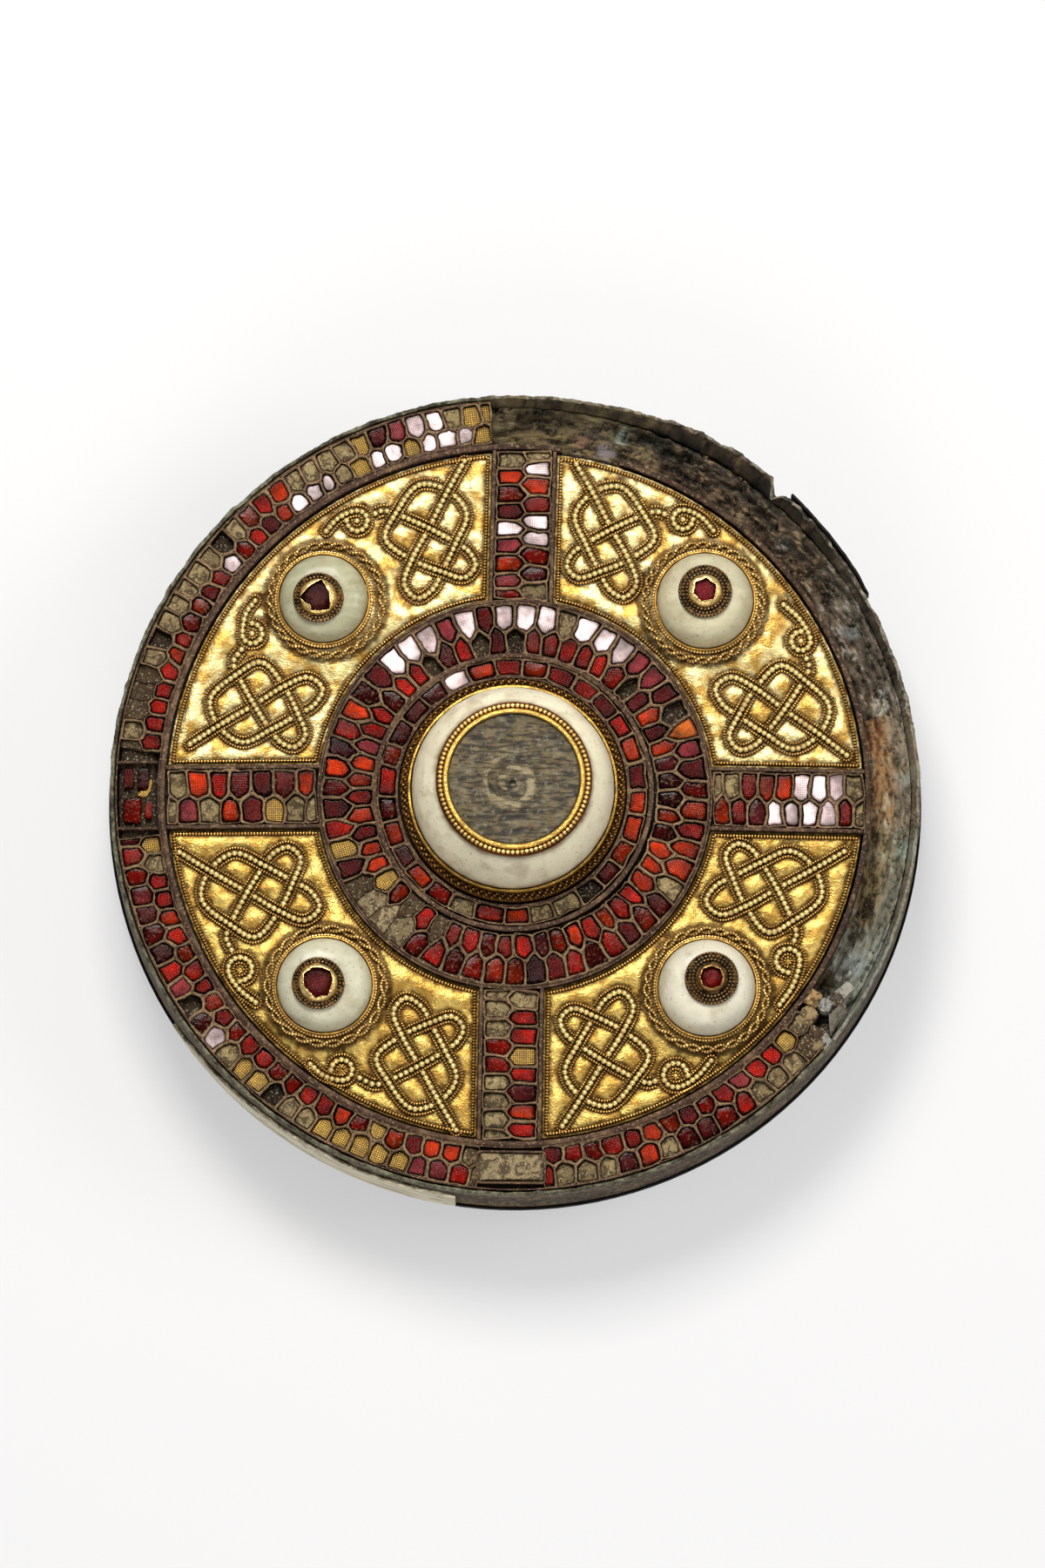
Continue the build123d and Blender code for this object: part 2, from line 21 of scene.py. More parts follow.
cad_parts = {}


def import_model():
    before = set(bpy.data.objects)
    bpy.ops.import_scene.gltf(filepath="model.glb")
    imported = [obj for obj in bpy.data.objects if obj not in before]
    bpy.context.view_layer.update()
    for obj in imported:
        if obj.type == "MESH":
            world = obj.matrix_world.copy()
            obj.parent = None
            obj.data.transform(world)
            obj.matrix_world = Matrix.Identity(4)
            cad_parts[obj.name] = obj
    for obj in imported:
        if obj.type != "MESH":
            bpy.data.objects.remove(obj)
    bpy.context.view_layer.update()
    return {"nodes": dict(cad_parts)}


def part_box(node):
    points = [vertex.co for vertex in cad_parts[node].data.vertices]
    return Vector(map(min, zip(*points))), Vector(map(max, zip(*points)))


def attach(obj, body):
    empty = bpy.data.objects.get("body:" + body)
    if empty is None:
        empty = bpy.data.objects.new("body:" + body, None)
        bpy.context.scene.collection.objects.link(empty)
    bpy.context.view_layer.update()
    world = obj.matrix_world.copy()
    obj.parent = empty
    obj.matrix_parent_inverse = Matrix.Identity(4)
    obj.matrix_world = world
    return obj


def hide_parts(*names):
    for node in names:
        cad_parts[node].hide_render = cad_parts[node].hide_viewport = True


LOG = logging.getLogger("disc_brooch")
MM = 0.001

Material = bpy.types.Material
Flat = tuple[float, float]
Solid = tuple[float, float, float]
Colour = tuple[float, float, float]
Tint = tuple[float, float, float, float]
Level = Callable[[float, float], float]
Shade = Callable[[float, float], Tint]
Surface = Callable[[Flat], Flat]
ProfileShade = Callable[[float, float, int], Tint]
ProfileWarp = Callable[[float, float, float, int], Solid]


def polar(radius: float, angle: float) -> Flat:
    """Point at a radius about the brooch's axis."""
    return radius * math.cos(math.radians(angle)), radius * math.sin(math.radians(angle))


def heading(x: float, y: float) -> float:
    """Angle of a place, between -180 and 180."""
    return math.degrees(math.atan2(y, x))


def signed(angle: float) -> float:
    """The same angle between -180 and 180."""
    return (angle + 180) % 360 - 180


def turned(point: Flat, angle: float) -> Flat:
    """Point turned about the brooch's axis."""
    cosine, sine = math.cos(math.radians(angle)), math.sin(math.radians(angle))
    return point[0] * cosine - point[1] * sine, point[0] * sine + point[1] * cosine


def pigment(red: int, green: int, blue: int) -> Colour:
    """Linear colour of a display colour that is given in steps of 255."""
    shares = (red / 255, green / 255, blue / 255)
    return tuple(share / 12.92 if share <= 0.04045 else ((share + 0.055) / 1.055) ** 2.4 for share in shares)


def shaded(colour: Colour, light: float, strength: float = 1.0) -> Tint:
    """Colour made lighter or darker, with a fourth number that says how strong the surface pattern is."""
    return colour[0] * light, colour[1] * light, colour[2] * light, strength


def blended(first: Colour, second: Colour, share: float) -> Colour:
    """Colour between two colours."""
    return tuple(a + (b - a) * share for a, b in zip(first, second))


def clamp(value: float, low: float = 0.0, high: float = 1.0) -> float:
    """Value held between two limits."""
    return max(low, min(high, value))


def smooth(value: float, low: float, high: float) -> float:
    """Smooth step from 0 at the low limit to 1 at the high one."""
    share = clamp((value - low) / (high - low))
    return share * share * (3 - 2 * share)


def ripple(x: float, y: float, size: float, seed: float = 0.0) -> float:
    """Even noise between about -1 and 1, with lumps of about the given size."""
    return noise.noise(Vector((x / size, y / size, seed * 7.31)))


def rough(x: float, y: float, size: float, seed: float = 0.0) -> float:
    """Noise in three layers, each half as large and half as strong as the last."""
    large, medium, small = (ripple(x, y, size / 2 ** layer, seed + layer) for layer in range(3))
    return large + medium / 2 + small / 4


def signed_area(corners: Sequence[Flat]) -> float:
    """Twice the area of an outline, above 0 where it runs counterclockwise."""
    return sum(a[0] * b[1] - b[0] * a[1] for a, b in zip(corners, [*corners[1:], corners[0]]))


def inset(corners: Sequence[Flat], distance: float) -> list[Flat]:
    """Moves each side of a convex outline inwards.

    Args:
        corners: the outline, in either direction.
        distance: how far each side moves.

    Returns:
        The new corners, counterclockwise.
    """
    points = list(corners) if signed_area(corners) > 0 else list(corners)[::-1]
    lines = []
    for (ax, ay), (bx, by) in zip(points, points[1:] + points[:1]):
        length = math.hypot(bx - ax, by - ay)
        ux, uy = (bx - ax) / length, (by - ay) / length
        lines.append((ax - uy * distance, ay + ux * distance, ux, uy))
    moved = []
    for (ax, ay, ux, uy), (bx, by, vx, vy) in zip(lines[-1:] + lines[:-1], lines):
        turn = ux * vy - uy * vx
        along = ((bx - ax) * vy - (by - ay) * vx) / turn if abs(turn) > 1e-4 else 0.0
        moved.append((ax + ux * along, ay + uy * along) if along else (bx, by))
    return moved


def rounded(corners: Sequence[Flat], cut: float) -> list[Flat]:
    """Rounds the corners of an outline, with three points for each corner.

    Args:
        corners: the outline.
        cut: how far from a corner its rounding starts.

    Returns:
        The rounded outline.
    """
    points = []
    for before, corner, after in zip([corners[-1], *corners[:-1]], corners, [*corners[1:], corners[0]]):
        ends = []
        for other in (before, after):
            share = min(cut / math.dist(corner, other), 0.4)
            ends.append((corner[0] + (other[0] - corner[0]) * share,
                         corner[1] + (other[1] - corner[1]) * share))
        middle = ((ends[0][0] + ends[1][0]) / 4 + corner[0] / 2,
                  (ends[0][1] + ends[1][1]) / 4 + corner[1] / 2)
        points += [ends[0], middle, ends[1]]
    return points


def bent(outline: Sequence[Flat]) -> list[Flat]:
    """Outline with bent sides. The bends follow the place alone, so outlines that touch stay together.

    Args:
        outline: the outline.

    Returns:
        The bent outline, with one more point on each side.
    """
    points: list[Flat] = []
    for (x, y), (x2, y2) in zip(outline, [*outline[1:], outline[0]]):
        points += [(x, y), ((x + x2) / 2, (y + y2) / 2)]
    return [(x + 0.16 * rough(x, y, 1.3, 81.0) + 0.09 * rough(x, y, 0.5, 82.0),
             y + 0.16 * rough(x, y, 1.3, 83.0) + 0.09 * rough(x, y, 0.5, 84.0)) for x, y in points]


def centre_of(points: Sequence[Flat]) -> Flat:
    """Mean of the points."""
    return sum(x for x, _ in points) / len(points), sum(y for _, y in points) / len(points)


def shrunk(points: Sequence[Flat], share: float) -> list[Flat]:
    """Points drawn towards their mean, which stays where it is."""
    x, y = centre_of(points)
    return [(x + (px - x) * share, y + (py - y) * share) for px, py in points]


def own_surface(middle: Flat, turn: float) -> Surface:
    """Gives places on a small face, about its middle and turned with it, with the turn in radians."""
    cosine, sine = math.cos(turn), math.sin(turn)
    return lambda place: ((place[0] - middle[0]) * cosine + (place[1] - middle[1]) * sine,
                          (place[1] - middle[1]) * cosine - (place[0] - middle[0]) * sine)


def beside(line: Sequence[Flat], distance: float, closed: bool = False) -> list[Flat]:
    """Draws a line beside a line.

    Args:
        line: the line.
        distance: how far to its left the new one runs, or to its right below 0.
        closed: whether the line is a loop.

    Returns:
        As many points as the line has.
    """
    moved = []
    count = len(line)
    for number, (x, y) in enumerate(line):
        before = line[number - 1] if closed or number else line[0]
        after = line[(number + 1) % count] if closed or number + 1 < count else line[-1]
        length = math.dist(before, after) or 1.0
        moved.append((x - (after[1] - before[1]) / length * distance,
                      y + (after[0] - before[0]) / length * distance))
    return moved


def arc(radius: float, start: float, sweep: float, step: float = 0.5,
        middle: Flat = (0.0, 0.0)) -> list[Flat]:
    """Puts points along an arc.

    Args:
        radius: its radius.
        start: first angle.
        sweep: degrees that it covers, a whole circle leaving out its last point.
        step: length of a part.
        middle: its centre.

    Returns:
        The points.
    """
    count = max(4, round(abs(math.radians(sweep)) * radius / step))
    stops = range(count) if abs(sweep) >= 360 else range(count + 1)
    return [(x + middle[0], y + middle[1])
            for x, y in (polar(radius, start + sweep * stop / count) for stop in stops)]


class Form:
    """Mesh of one piece while it is built, with a tint and a place on the surface for every point."""

    def __init__(self) -> None:
        """Starts without points."""
        self.points: list[Solid] = []
        self.tints: list[Tint] = []
        self.places: list[Flat] = []
        self.faces: list[list[int]] = []

    def point(self, place: Solid, tint: Tint = (1, 1, 1, 1), surface: Flat = (0, 0)) -> int:
        """Adds one point.

        Args:
            place: where it lies.
            tint: its colour, and the strength of the surface pattern there.
            surface: its place on the piece's own surface.

        Returns:
            The point's number.
        """
        self.points.append(place)
        self.tints.append(tint)
        self.places.append(surface)
        return len(self.points) - 1

    def loop(self, outline: Sequence[Flat], level: Union[float, Level],
             tint: Union[Tint, Shade] = (1, 1, 1, 1), surface: Surface = lambda place: place) -> list[int]:
        """Adds a row of points above a flat outline.

        Args:
            outline: the outline in plan.
            level: the height, or a function of the place that gives it.
            tint: the tint, or a function of the place that gives it.
            surface: gives the place on the piece's own surface.

        Returns:
            The points' numbers.
        """
        return [self.point((x, y, level(x, y) if callable(level) else level),
                           tint(x, y) if callable(tint) else tint, surface((x, y))) for x, y in outline]

    def stack(self, loops: Sequence[Sequence[int]], closed: bool = True, round_trip: bool = False) -> None:
        """Joins rows of points one after another with four-sided faces.

        Args:
            loops: the rows, all of one length.
            closed: whether each row is a closed loop.
            round_trip: whether the last row joins the first one.
        """
        for first, second in zip(loops, [*loops[1:], loops[0]] if round_trip else loops[1:]):
            count = len(first)
            for here in range(count if closed else count - 1):
                there = (here + 1) % count
                self.faces.append([first[here], first[there], second[there], second[here]])

    def bar(self, loops: Sequence[Sequence[int]]) -> None:
        """Joins open rows of points into a bar with closed ends."""
        self.stack(loops, closed=False, round_trip=True)
        self.faces += [[loop[end] for loop in loops] for end in (0, -1)]

    def mound(self, loops: Sequence[Sequence[int]], top: int) -> None:
        """Joins closed rows of points into a mound with a flat foot and a top point.

        Args:
            loops: the rows, from the foot up.
            top: number of the top point.
        """
        self.stack(loops)
        self.faces.append(list(loops[0]))
        self.faces += [[here, there, top] for here, there in zip(loops[-1], [*loops[-1][1:], loops[-1][0]])]

    def made(self, name: str, material: Material, sharp: float) -> bpy.types.Object:
        """Turns the form into an object.

        Args:
            name: the piece's name.
            material: its finish.
            sharp: angle past which an edge stays sharp, or 0 for a smooth piece.

        Returns:
            The object, at the origin.
        """
        mesh = bpy.data.meshes.new(name)
        mesh.from_pydata([(x * MM, y * MM, z * MM) for x, y, z in self.points], [], self.faces)
        shell = bmesh.new()
        shell.from_mesh(mesh)
        bmesh.ops.recalc_face_normals(shell, faces=shell.faces)
        shell.to_mesh(mesh)
        shell.free()
        tint = mesh.color_attributes.new("tint", "FLOAT_COLOR", "POINT")
        tint.data.foreach_set("color", [part for colour in self.tints for part in colour])
        layer = mesh.uv_layers.new(name="place")
        corner_points = [0] * len(mesh.loops)
        mesh.loops.foreach_get("vertex_index", corner_points)
        layer.data.foreach_set("uv", [part for number in corner_points for part in self.places[number]])
        mesh.shade_smooth()
        if sharp:
            mesh.set_sharp_from_angle(angle=math.radians(sharp))
        return placed(name, mesh, material)


def placed(name: str, mesh: bpy.types.Mesh, material: Material) -> bpy.types.Object:
    """Puts a mesh in the scene at the origin.

    Args:
        name: the object's name.
        mesh: its mesh, in metres.
        material: its finish.

    Returns:
        The new object.
    """
    mesh.name = name
    mesh.materials.clear()
    mesh.materials.append(material)
    piece = bpy.data.objects.new(name, mesh)
    bpy.context.scene.collection.objects.link(piece)
    return piece


def fitted(piece: bpy.types.Object, slot: str, replaced: Sequence[str] = ()) -> None:
    """Fixes a finished piece to the brooch.

    Args:
        piece: the piece.
        slot: the record's material slot; not used.
        replaced: the CAD nodes that it stands for.
    """
    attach(piece, "root")
    if replaced:
        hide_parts(*replaced)
    LOG.info("%s: %d faces", piece.name, len(piece.data.polygons))


def rail(form: Form, path: Sequence[Flat], width: float, low: Union[float, Level], high: Level, tint: Shade,
         closed: bool = False) -> None:
    """Adds an upright wall along a path, closed at its ends.

    Args:
        form: the mesh that it joins.
        path: the middle of the wall in plan.
        width: its thickness.
        low: level of its foot.
        high: level of its top by place.
        tint: colour of its top by place.
        closed: whether the path is a closed loop.
    """
    def dark(x: float, y: float) -> Tint:
        """Colour of the sides, in shade."""
        return shaded(tint(x, y)[:3], 0.45)

    def shoulder(x: float, y: float) -> float:
        """Level of the edge of the rounded top."""
        return high(x, y) - 0.05

    rows = ((0.5, low, dark), (0.5, shoulder, dark), (0.35, high, tint),
            (-0.35, high, tint), (-0.5, shoulder, dark), (-0.5, low, dark))
    loops = [form.loop(beside(path, width * share, closed), level, shade) for share, level, shade in rows]
    if closed:
        form.stack(loops, round_trip=True)
    else:
        form.bar(loops)


def lathe(profile: Sequence[Flat], middle: Flat, steps: int, tint: ProfileShade,
          warp: ProfileWarp = lambda x, y, z, number: (x, y, z)) -> Form:
    """Turns a profile round an upright axis.

    Args:
        profile: radii and levels from the foot outside up to the top, then down inside or in to the axis.
        middle: where the axis stands.
        steps: points round the axis.
        tint: colour by place and by the number of the profile's point.
        warp: moves a point, from its place and its number in the profile.

    Returns:
        The turned form.
    """
    form = Form()

    def spun(x: float, y: float, number: int) -> int:
        """Adds a point at a place beside the axis."""
        place = warp(x + middle[0], y + middle[1], profile[number][1], number)
        return form.point(place, tint(place[0], place[1], number), (x, y))

    pole = profile[-1][0] == 0.0
    loops = [[spun(*polar(radius, 360 * step / steps), number) for step in range(steps)]
             for number, (radius, _) in enumerate(profile[:-1] if pole else profile)]
    if pole:
        form.mound(loops, spun(0.0, 0.0, len(profile) - 1))
    else:
        form.stack(loops, round_trip=True)
    return form


def crested(bright: Colour, shade: Colour, crest: Sequence[int], light: float, swing: float, size: float,
            seed: float) -> ProfileShade:
    """Gold that is bright on the crest of a profile and darker elsewhere, which is painted shade.

    Args:
        bright: colour of the crest.
        shade: colour elsewhere.
        crest: numbers of the profile's points on the crest.
        light: mean brightness.
        swing: how much lighter and darker its patches are.
        size: size of the patches.
        seed: seed of their noise.

    Returns:
        The colour by place and number.
    """
    return lambda x, y, number: shaded(bright if number in crest else shade,
                                       light + swing * rough(x, y, size, seed))


class Term:
    """Value in a node tree, whose arithmetic adds Math nodes."""

    def __init__(self, tree: "Tree", socket: bpy.types.NodeSocket) -> None:
        """Wraps an output socket of a tree."""
        self.tree = tree
        self.socket = socket

    def _math(self, operation: str, first: Any, second: Any) -> "Term":
        """Adds one Math node and returns its result."""
        return self.tree.value("ShaderNodeMath", {"operation": operation}, {0: first, 1: second})

    def __add__(self, other: Any) -> "Term":
        """Sum."""
        return self._math("ADD", self, other)

    def __radd__(self, other: Any) -> "Term":
        """Sum with a plain number in front."""
        return self._math("ADD", other, self)

    def __sub__(self, other: Any) -> "Term":
        """Difference."""
        return self._math("SUBTRACT", self, other)

    def __rsub__(self, other: Any) -> "Term":
        """Difference with a plain number in front."""
        return self._math("SUBTRACT", other, self)

    def __mul__(self, other: Any) -> "Term":
        """Product."""
        return self._math("MULTIPLY", self, other)

    def __rmul__(self, other: Any) -> "Term":
        """Product with a plain number in front."""
        return self._math("MULTIPLY", other, self)

    def __truediv__(self, other: Any) -> "Term":
        """Quotient."""
        return self._math("DIVIDE", self, other)

    def __rtruediv__(self, other: Any) -> "Term":
        """Quotient with a plain number in front."""
        return self._math("DIVIDE", other, self)

    def __mod__(self, other: Any) -> "Term":
        """Remainder."""
        return self._math("MODULO", self, other)

    def __rmod__(self, other: Any) -> "Term":
        """Remainder with a plain number in front."""
        return self._math("MODULO", other, self)

    def stepped(self, low: float, high: float) -> "Term":
        """Smooth step from 0 at the low limit to 1 at the high one."""
        return self.tree.value("ShaderNodeMapRange", {"interpolation_type": "SMOOTHSTEP"},
                               {"Value": self, "From Min": low, "From Max": high})


class Tree:
    """Node tree while it is built."""

    def __init__(self, tree: bpy.types.NodeTree) -> None:
        """Takes on a tree."""
        self.tree = tree

    def put(self, socket: bpy.types.NodeSocket, value: Any) -> None:
        """Links a term to an input, or sets the input's own value.

        Args:
            socket: the input.
            value: a term, a number, a colour or another plain value.
        """
        if isinstance(value, Term):
            self.tree.links.new(value.socket, socket)
        elif isinstance(value, tuple) and socket.type == "RGBA":
            socket.default_value = (*value[:3], 1.0)
        else:
            socket.default_value = value

    def add(self, kind: str, settings: dict[str, Any] | None = None,
            inputs: dict[Any, Any] | None = None) -> bpy.types.Node:
        """Adds a node.

        Args:
            kind: the node's type.
            settings: its properties, which are set first.
            inputs: values or terms by socket name or number.

        Returns:
            The node.
        """
        node = self.tree.nodes.new(kind)
        for name, setting in (settings or {}).items():
            setattr(node, name, setting)
        for name, value in (inputs or {}).items():
            self.put(node.inputs[name], value)
        return node

    def value(self, kind: str, settings: dict[str, Any] | None = None, inputs: dict[Any, Any] | None = None,
              output: Any = 0) -> Term:
        """Adds a node and returns one of its outputs as a term."""
        return Term(self, self.add(kind, settings, inputs).outputs[output])


class Bench(Tree):
    """Node tree of one material, with its Principled shader."""

    def __init__(self, name: str) -> None:
        """Starts a material with a shader and an output.

        Args:
            name: the material's name.
        """
        self.material = bpy.data.materials.new(name)
        self.material.use_nodes = True
        super().__init__(self.material.node_tree)
        self.tree.nodes.clear()
        self.shader = self.add("ShaderNodeBsdfPrincipled")
        self.add("ShaderNodeOutputMaterial", None, {"Surface": Term(self, self.shader.outputs[0])})

    def coords(self, surface: bool = False) -> Term:
        """Place in millimetres in the object, or on the piece's own surface.

        Args:
            surface: whether the piece's own surface is meant.

        Returns:
            The place.
        """
        if surface:
            return self.value("ShaderNodeUVMap", {"uv_map": "place"})
        metres = self.value("ShaderNodeTexCoord", output="Object")
        return self.value("ShaderNodeVectorMath", {"operation": "SCALE"}, {0: metres, "Scale": 1 / MM})

    def carried(self, part: str) -> Term:
        """Colour that the mesh carries, or with Alpha the fourth number beside it."""
        return self.value("ShaderNodeAttribute", {"attribute_name": "tint"}, output=part)

    def cloud(self, size: float, detail: float = 3.0, distortion: float = 0.0,
              coords: Term | None = None) -> Term:
        """Soft noise between 0 and 1 with lumps of about the given size."""
        return self.value("ShaderNodeTexNoise", None, {"Vector": coords or self.coords(), "Scale": 1 / size,
                                                       "Detail": detail, "Distortion": distortion})

    def hatching(self, pitch: float) -> Term:
        """Crossed waves between 0 and 1 on the piece's own surface.

        Args:
            pitch: length of a wave.

        Returns:
            Their height.
        """
        parts = self.add("ShaderNodeSeparateXYZ", None, {"Vector": self.coords(surface=True)})
        turns = (Term(self, parts.outputs[axis]) * (2 * math.pi / pitch) for axis in "XY")
        across, along = (self.value("ShaderNodeMath", {"operation": "SINE"}, {0: turn}) for turn in turns)
        return across * along * 0.5 + 0.5

    def mix(self, share: Any, first: Any, second: Any, way: str = "MIX") -> Term:
        """Colour between two colours, or their product or other blend."""
        return self.value("ShaderNodeMix", {"data_type": "RGBA", "blend_type": way, "clamp_result": False},
                          {0: share, 6: first, 7: second}, output=2)

    def raised(self, height: Term, depth: float) -> Term:
        """Normal bent by a height between 0 and 1 that stands for a depth."""
        return self.value("ShaderNodeBump", None, {"Strength": 1.0, "Distance": depth * MM, "Height": height})

    def finish(self, **sockets: Any) -> Material:
        """Sets the shader's sockets, named with an underscore for each space, and returns the material."""
        for name, value in sockets.items():
            self.put(self.shader.inputs[name.replace("_", " ")], value)
        return self.material


@dataclass(frozen=True)
class Veil:
    """Stain over the colour below it, where its noise rises from a low to a high limit, and its relief."""

    size: float
    colour: Colour | None = None
    low: float = 0.0
    high: float = 1.0
    share: float = 1.0
    detail: float = 4.0
    distortion: float = 0.0
    stretch: Solid | None = None
    bump: float = 0.0
    rough: float = 0.0


@dataclass(frozen=True)
class Patina:
    """Weathered finish: veils over a ground colour or over the colour that the mesh carries."""

    name: str
    veils: tuple[Veil, ...]
    roughness: float
    depth: float
    metallic: float = 0.0
    specular: float = 0.5
    ground: Colour | None = None
    tint_before: int | None = None
    along_surface: bool = False
    extra: tuple[tuple[str, Any], ...] = ()

    def material(self) -> Material:
        """Builds the material, veil by veil.

        Returns:
            The material.
        """
        bench = Bench(self.name)
        colour = self.ground or bench.carried("Color")
        roughness, height = self.roughness, 0.0
        for number, veil in enumerate(self.veils):
            if number == self.tint_before:
                colour = bench.mix(bench.carried("Alpha"), colour, bench.carried("Color"))
            coords = None
            if veil.stretch:
                coords = bench.value("ShaderNodeMapping", None,
                                     {"Vector": bench.coords(self.along_surface), "Scale": veil.stretch})
            cloud = bench.cloud(veil.size, veil.detail, veil.distortion, coords)
            if veil.colour:
                colour = bench.mix(cloud.stepped(veil.low, veil.high) * veil.share, colour, veil.colour)
            if veil.rough:
                roughness = cloud * veil.rough + roughness
            if veil.bump:
                height = cloud * veil.bump + height
        return bench.finish(Base_Color=colour, Metallic=self.metallic, Roughness=roughness,
                            Specular_IOR_Level=self.specular, Normal=bench.raised(height, self.depth),
                            **dict(self.extra))


PATINAS = (
    Patina("cell_walls", (
        Veil(0.9, pigment(66, 46, 32), 0.35, 0.7, 0.6, bump=0.5, rough=0.35),
        Veil(0.3, pigment(182, 152, 110), 0.52, 0.7, 0.5, 3.0, bump=1.0),
    ), 0.45, 0.12, metallic=0.15, specular=0.3),
    Patina("paste", (
        Veil(0.7, pigment(62, 46, 29), 0.45, 0.58, 0.8, 5.0, 0.8, bump=0.6),
        Veil(0.22, pigment(216, 204, 170), 0.56, 0.68, 0.55, bump=1.0),
    ), 0.85, 0.26, specular=0.3),
    Patina("corroded_bronze", (
        Veil(4.0, pigment(104, 82, 54), 0.4, 0.62, distortion=0.5, bump=0.4),
        Veil(0.45, pigment(34, 25, 17), 0.44, 0.58, 0.75, 5.0, bump=1.0, rough=0.35),
        Veil(0.55, pigment(136, 134, 100), 0.55, 0.66, 0.6, 5.0, 0.6),
        Veil(0.45, pigment(36, 28, 21), 0.52, 0.66, 0.45, 5.0),
    ), 0.55, 0.3, specular=0.22, ground=pigment(64, 46, 29), tint_before=3),
    Patina("pale_strip", (
        Veil(1.0, pigment(226, 216, 182), 0.4, 0.56, stretch=(0.14, 0.14, 3.2), bump=1.0),
        Veil(1.6, pigment(112, 88, 58), 0.56, 0.72, 0.7),
    ), 0.42, 0.12, metallic=0.3, ground=pigment(128, 116, 88)),
    Patina("shell", (
        Veil(1.3, pigment(246, 238, 208), 0.4, 0.64, 0.2, 5.0, stretch=(0.5, 1.4, 0.5), bump=0.6),
        Veil(2.2, pigment(158, 136, 92), 0.52, 0.72, 0.35, distortion=0.4, bump=1.0, rough=0.3),
        Veil(0.35, pigment(124, 104, 74), 0.6, 0.72, 0.45),
    ), 0.34, 0.12, extra=(("Subsurface_Weight", 0.15), ("Subsurface_Radius", (0.001, 0.0008, 0.0006)),
                          ("Coat_Weight", 0.25), ("Coat_Roughness", 0.2))),
    Patina("dark_disc", (
        Veil(1.6, pigment(134, 115, 76), 0.38, 0.66, 0.6, 5.0, 0.8, bump=0.4),
        Veil(0.5, pigment(38, 36, 33), 0.46, 0.6, 0.75, 7.0, 0.5, stretch=(0.32, 1.7, 1.0), bump=1.0),
        Veil(0.5, pigment(146, 144, 132), 0.57, 0.68, 0.5, distortion=0.6),
        Veil(0.42, pigment(128, 56, 36), 0.66, 0.72, 0.7, 3.0),
        Veil(0.35, bump=0.5, rough=0.35),
    ), 0.42, 0.22, metallic=0.15, specular=0.35),
    Patina("channel", (
        Veil(0.9, pigment(40, 30, 21), 0.5, 0.62, 0.5, 6.0, 0.5, stretch=(0.35, 1.5, 1.0), bump=1.0),
        Veil(0.28, pigment(190, 176, 148), 0.57, 0.7, 0.3, bump=0.4, rough=0.4),
        Veil(0.6, pigment(118, 136, 116), 0.62, 0.7, 0.35, distortion=0.5),
    ), 0.5, 0.5, specular=0.25, along_surface=True),
)


@dataclass(frozen=True)
class GarnetFinish:
    """Thin garnet over hatched foil: deep colour, fine crossed lines and a polished top."""

    name: str = "garnet"
    hatch: float = 0.25
    roughness: float = 0.14
    glow: float = 0.13

    def material(self) -> Material:
        """Builds the material."""
        bench = Bench(self.name)
        grid, strength = bench.hatching(self.hatch), bench.carried("Alpha")
        dust = bench.cloud(0.3, 4.0).stepped(0.54, 0.7)
        light = (0.24 + grid * 1.25 * strength) * (0.1 + bench.cloud(0.9, 2.0) * 1.6)
        grey = bench.value("ShaderNodeCombineColor", None, {0: light, 1: light, 2: light})
        lit = bench.mix(1.0, bench.carried("Color"), grey, "MULTIPLY")
        colour = bench.mix(dust * (1.0 - strength) * 0.5 + dust * 0.06, lit, pigment(120, 92, 62))
        # The garnet gives off a faint painted glow in its own colour, standing in for light thrown back by
        # its foil.
        return bench.finish(Base_Color=colour, Roughness=self.roughness + dust * 0.4, IOR=1.5,
                            Specular_IOR_Level=0.13, Emission_Color=colour, Emission_Strength=self.glow,
                            Normal=bench.raised(grid * strength * 0.6 + bench.cloud(0.5, 3.0), 0.06))


@dataclass(frozen=True)
class GoldFinish:
    """Bright gold, hammered and patchily grimy, with painted sheen on its raised hammer marks."""

    name: str = "gold"
    roughness: float = 0.27
    grime: float = 0.5
    metal: float = 0.78
    gleam: float = 0.17

    def material(self) -> Material:
        """Builds the material."""
        bench = Bench(self.name)
        hammer, fine, stipple = bench.cloud(0.8), bench.cloud(0.2, 4.0), bench.cloud(0.11)
        grime = bench.cloud(1.2, 4.0, 0.5).stepped(0.56, 0.74)
        # gleam: colour made up to about twice as bright on the raised hammer marks, a painted sheen.
        gleam = hammer.stepped(0.3, 0.7) * self.gleam
        colour = bench.mix(gleam, bench.carried("Color"), (1.9, 1.85, 1.65), "MULTIPLY")
        colour = bench.mix(grime * self.grime, colour, pigment(116, 76, 28))
        return bench.finish(Base_Color=colour, Metallic=self.metal - grime * 0.3,
                            Roughness=self.roughness + grime * 0.25 + fine * 0.12, Specular_IOR_Level=0.2,
                            Normal=bench.raised(hammer * 0.5 + fine * 0.4 + stipple * 0.2, 0.13))


@dataclass(frozen=True)
class WireFinish:
    """Gold wire and beads: bright on their crests, with painted shade in the grooves and under each bead, and
    patches of dirt.
    """

    name: str = "gold_wire"
    crest: Colour = pigment(222, 172, 88)
    groove: Colour = pigment(58, 30, 8)
    low: float = 0.3

    def material(self) -> Material:
        """Builds the material."""
        bench = Bench(self.name)
        crest = bench.value("ShaderNodeAttribute", {"attribute_name": "crest"}, output="Fac")
        dirt = bench.cloud(1.4, 4.0, 0.4).stepped(0.5, 0.72)
        colour = bench.mix(crest.stepped(self.low, self.low + 0.65), self.groove, self.crest)
        colour = bench.mix(dirt * 0.5, colour, pigment(128, 76, 28))
        return bench.finish(Base_Color=colour, Metallic=0.75 - dirt * 0.3, Roughness=0.3 + dirt * 0.3,
                            Specular_IOR_Level=0.2, Normal=bench.raised(bench.cloud(0.12, 2.0), 0.02))


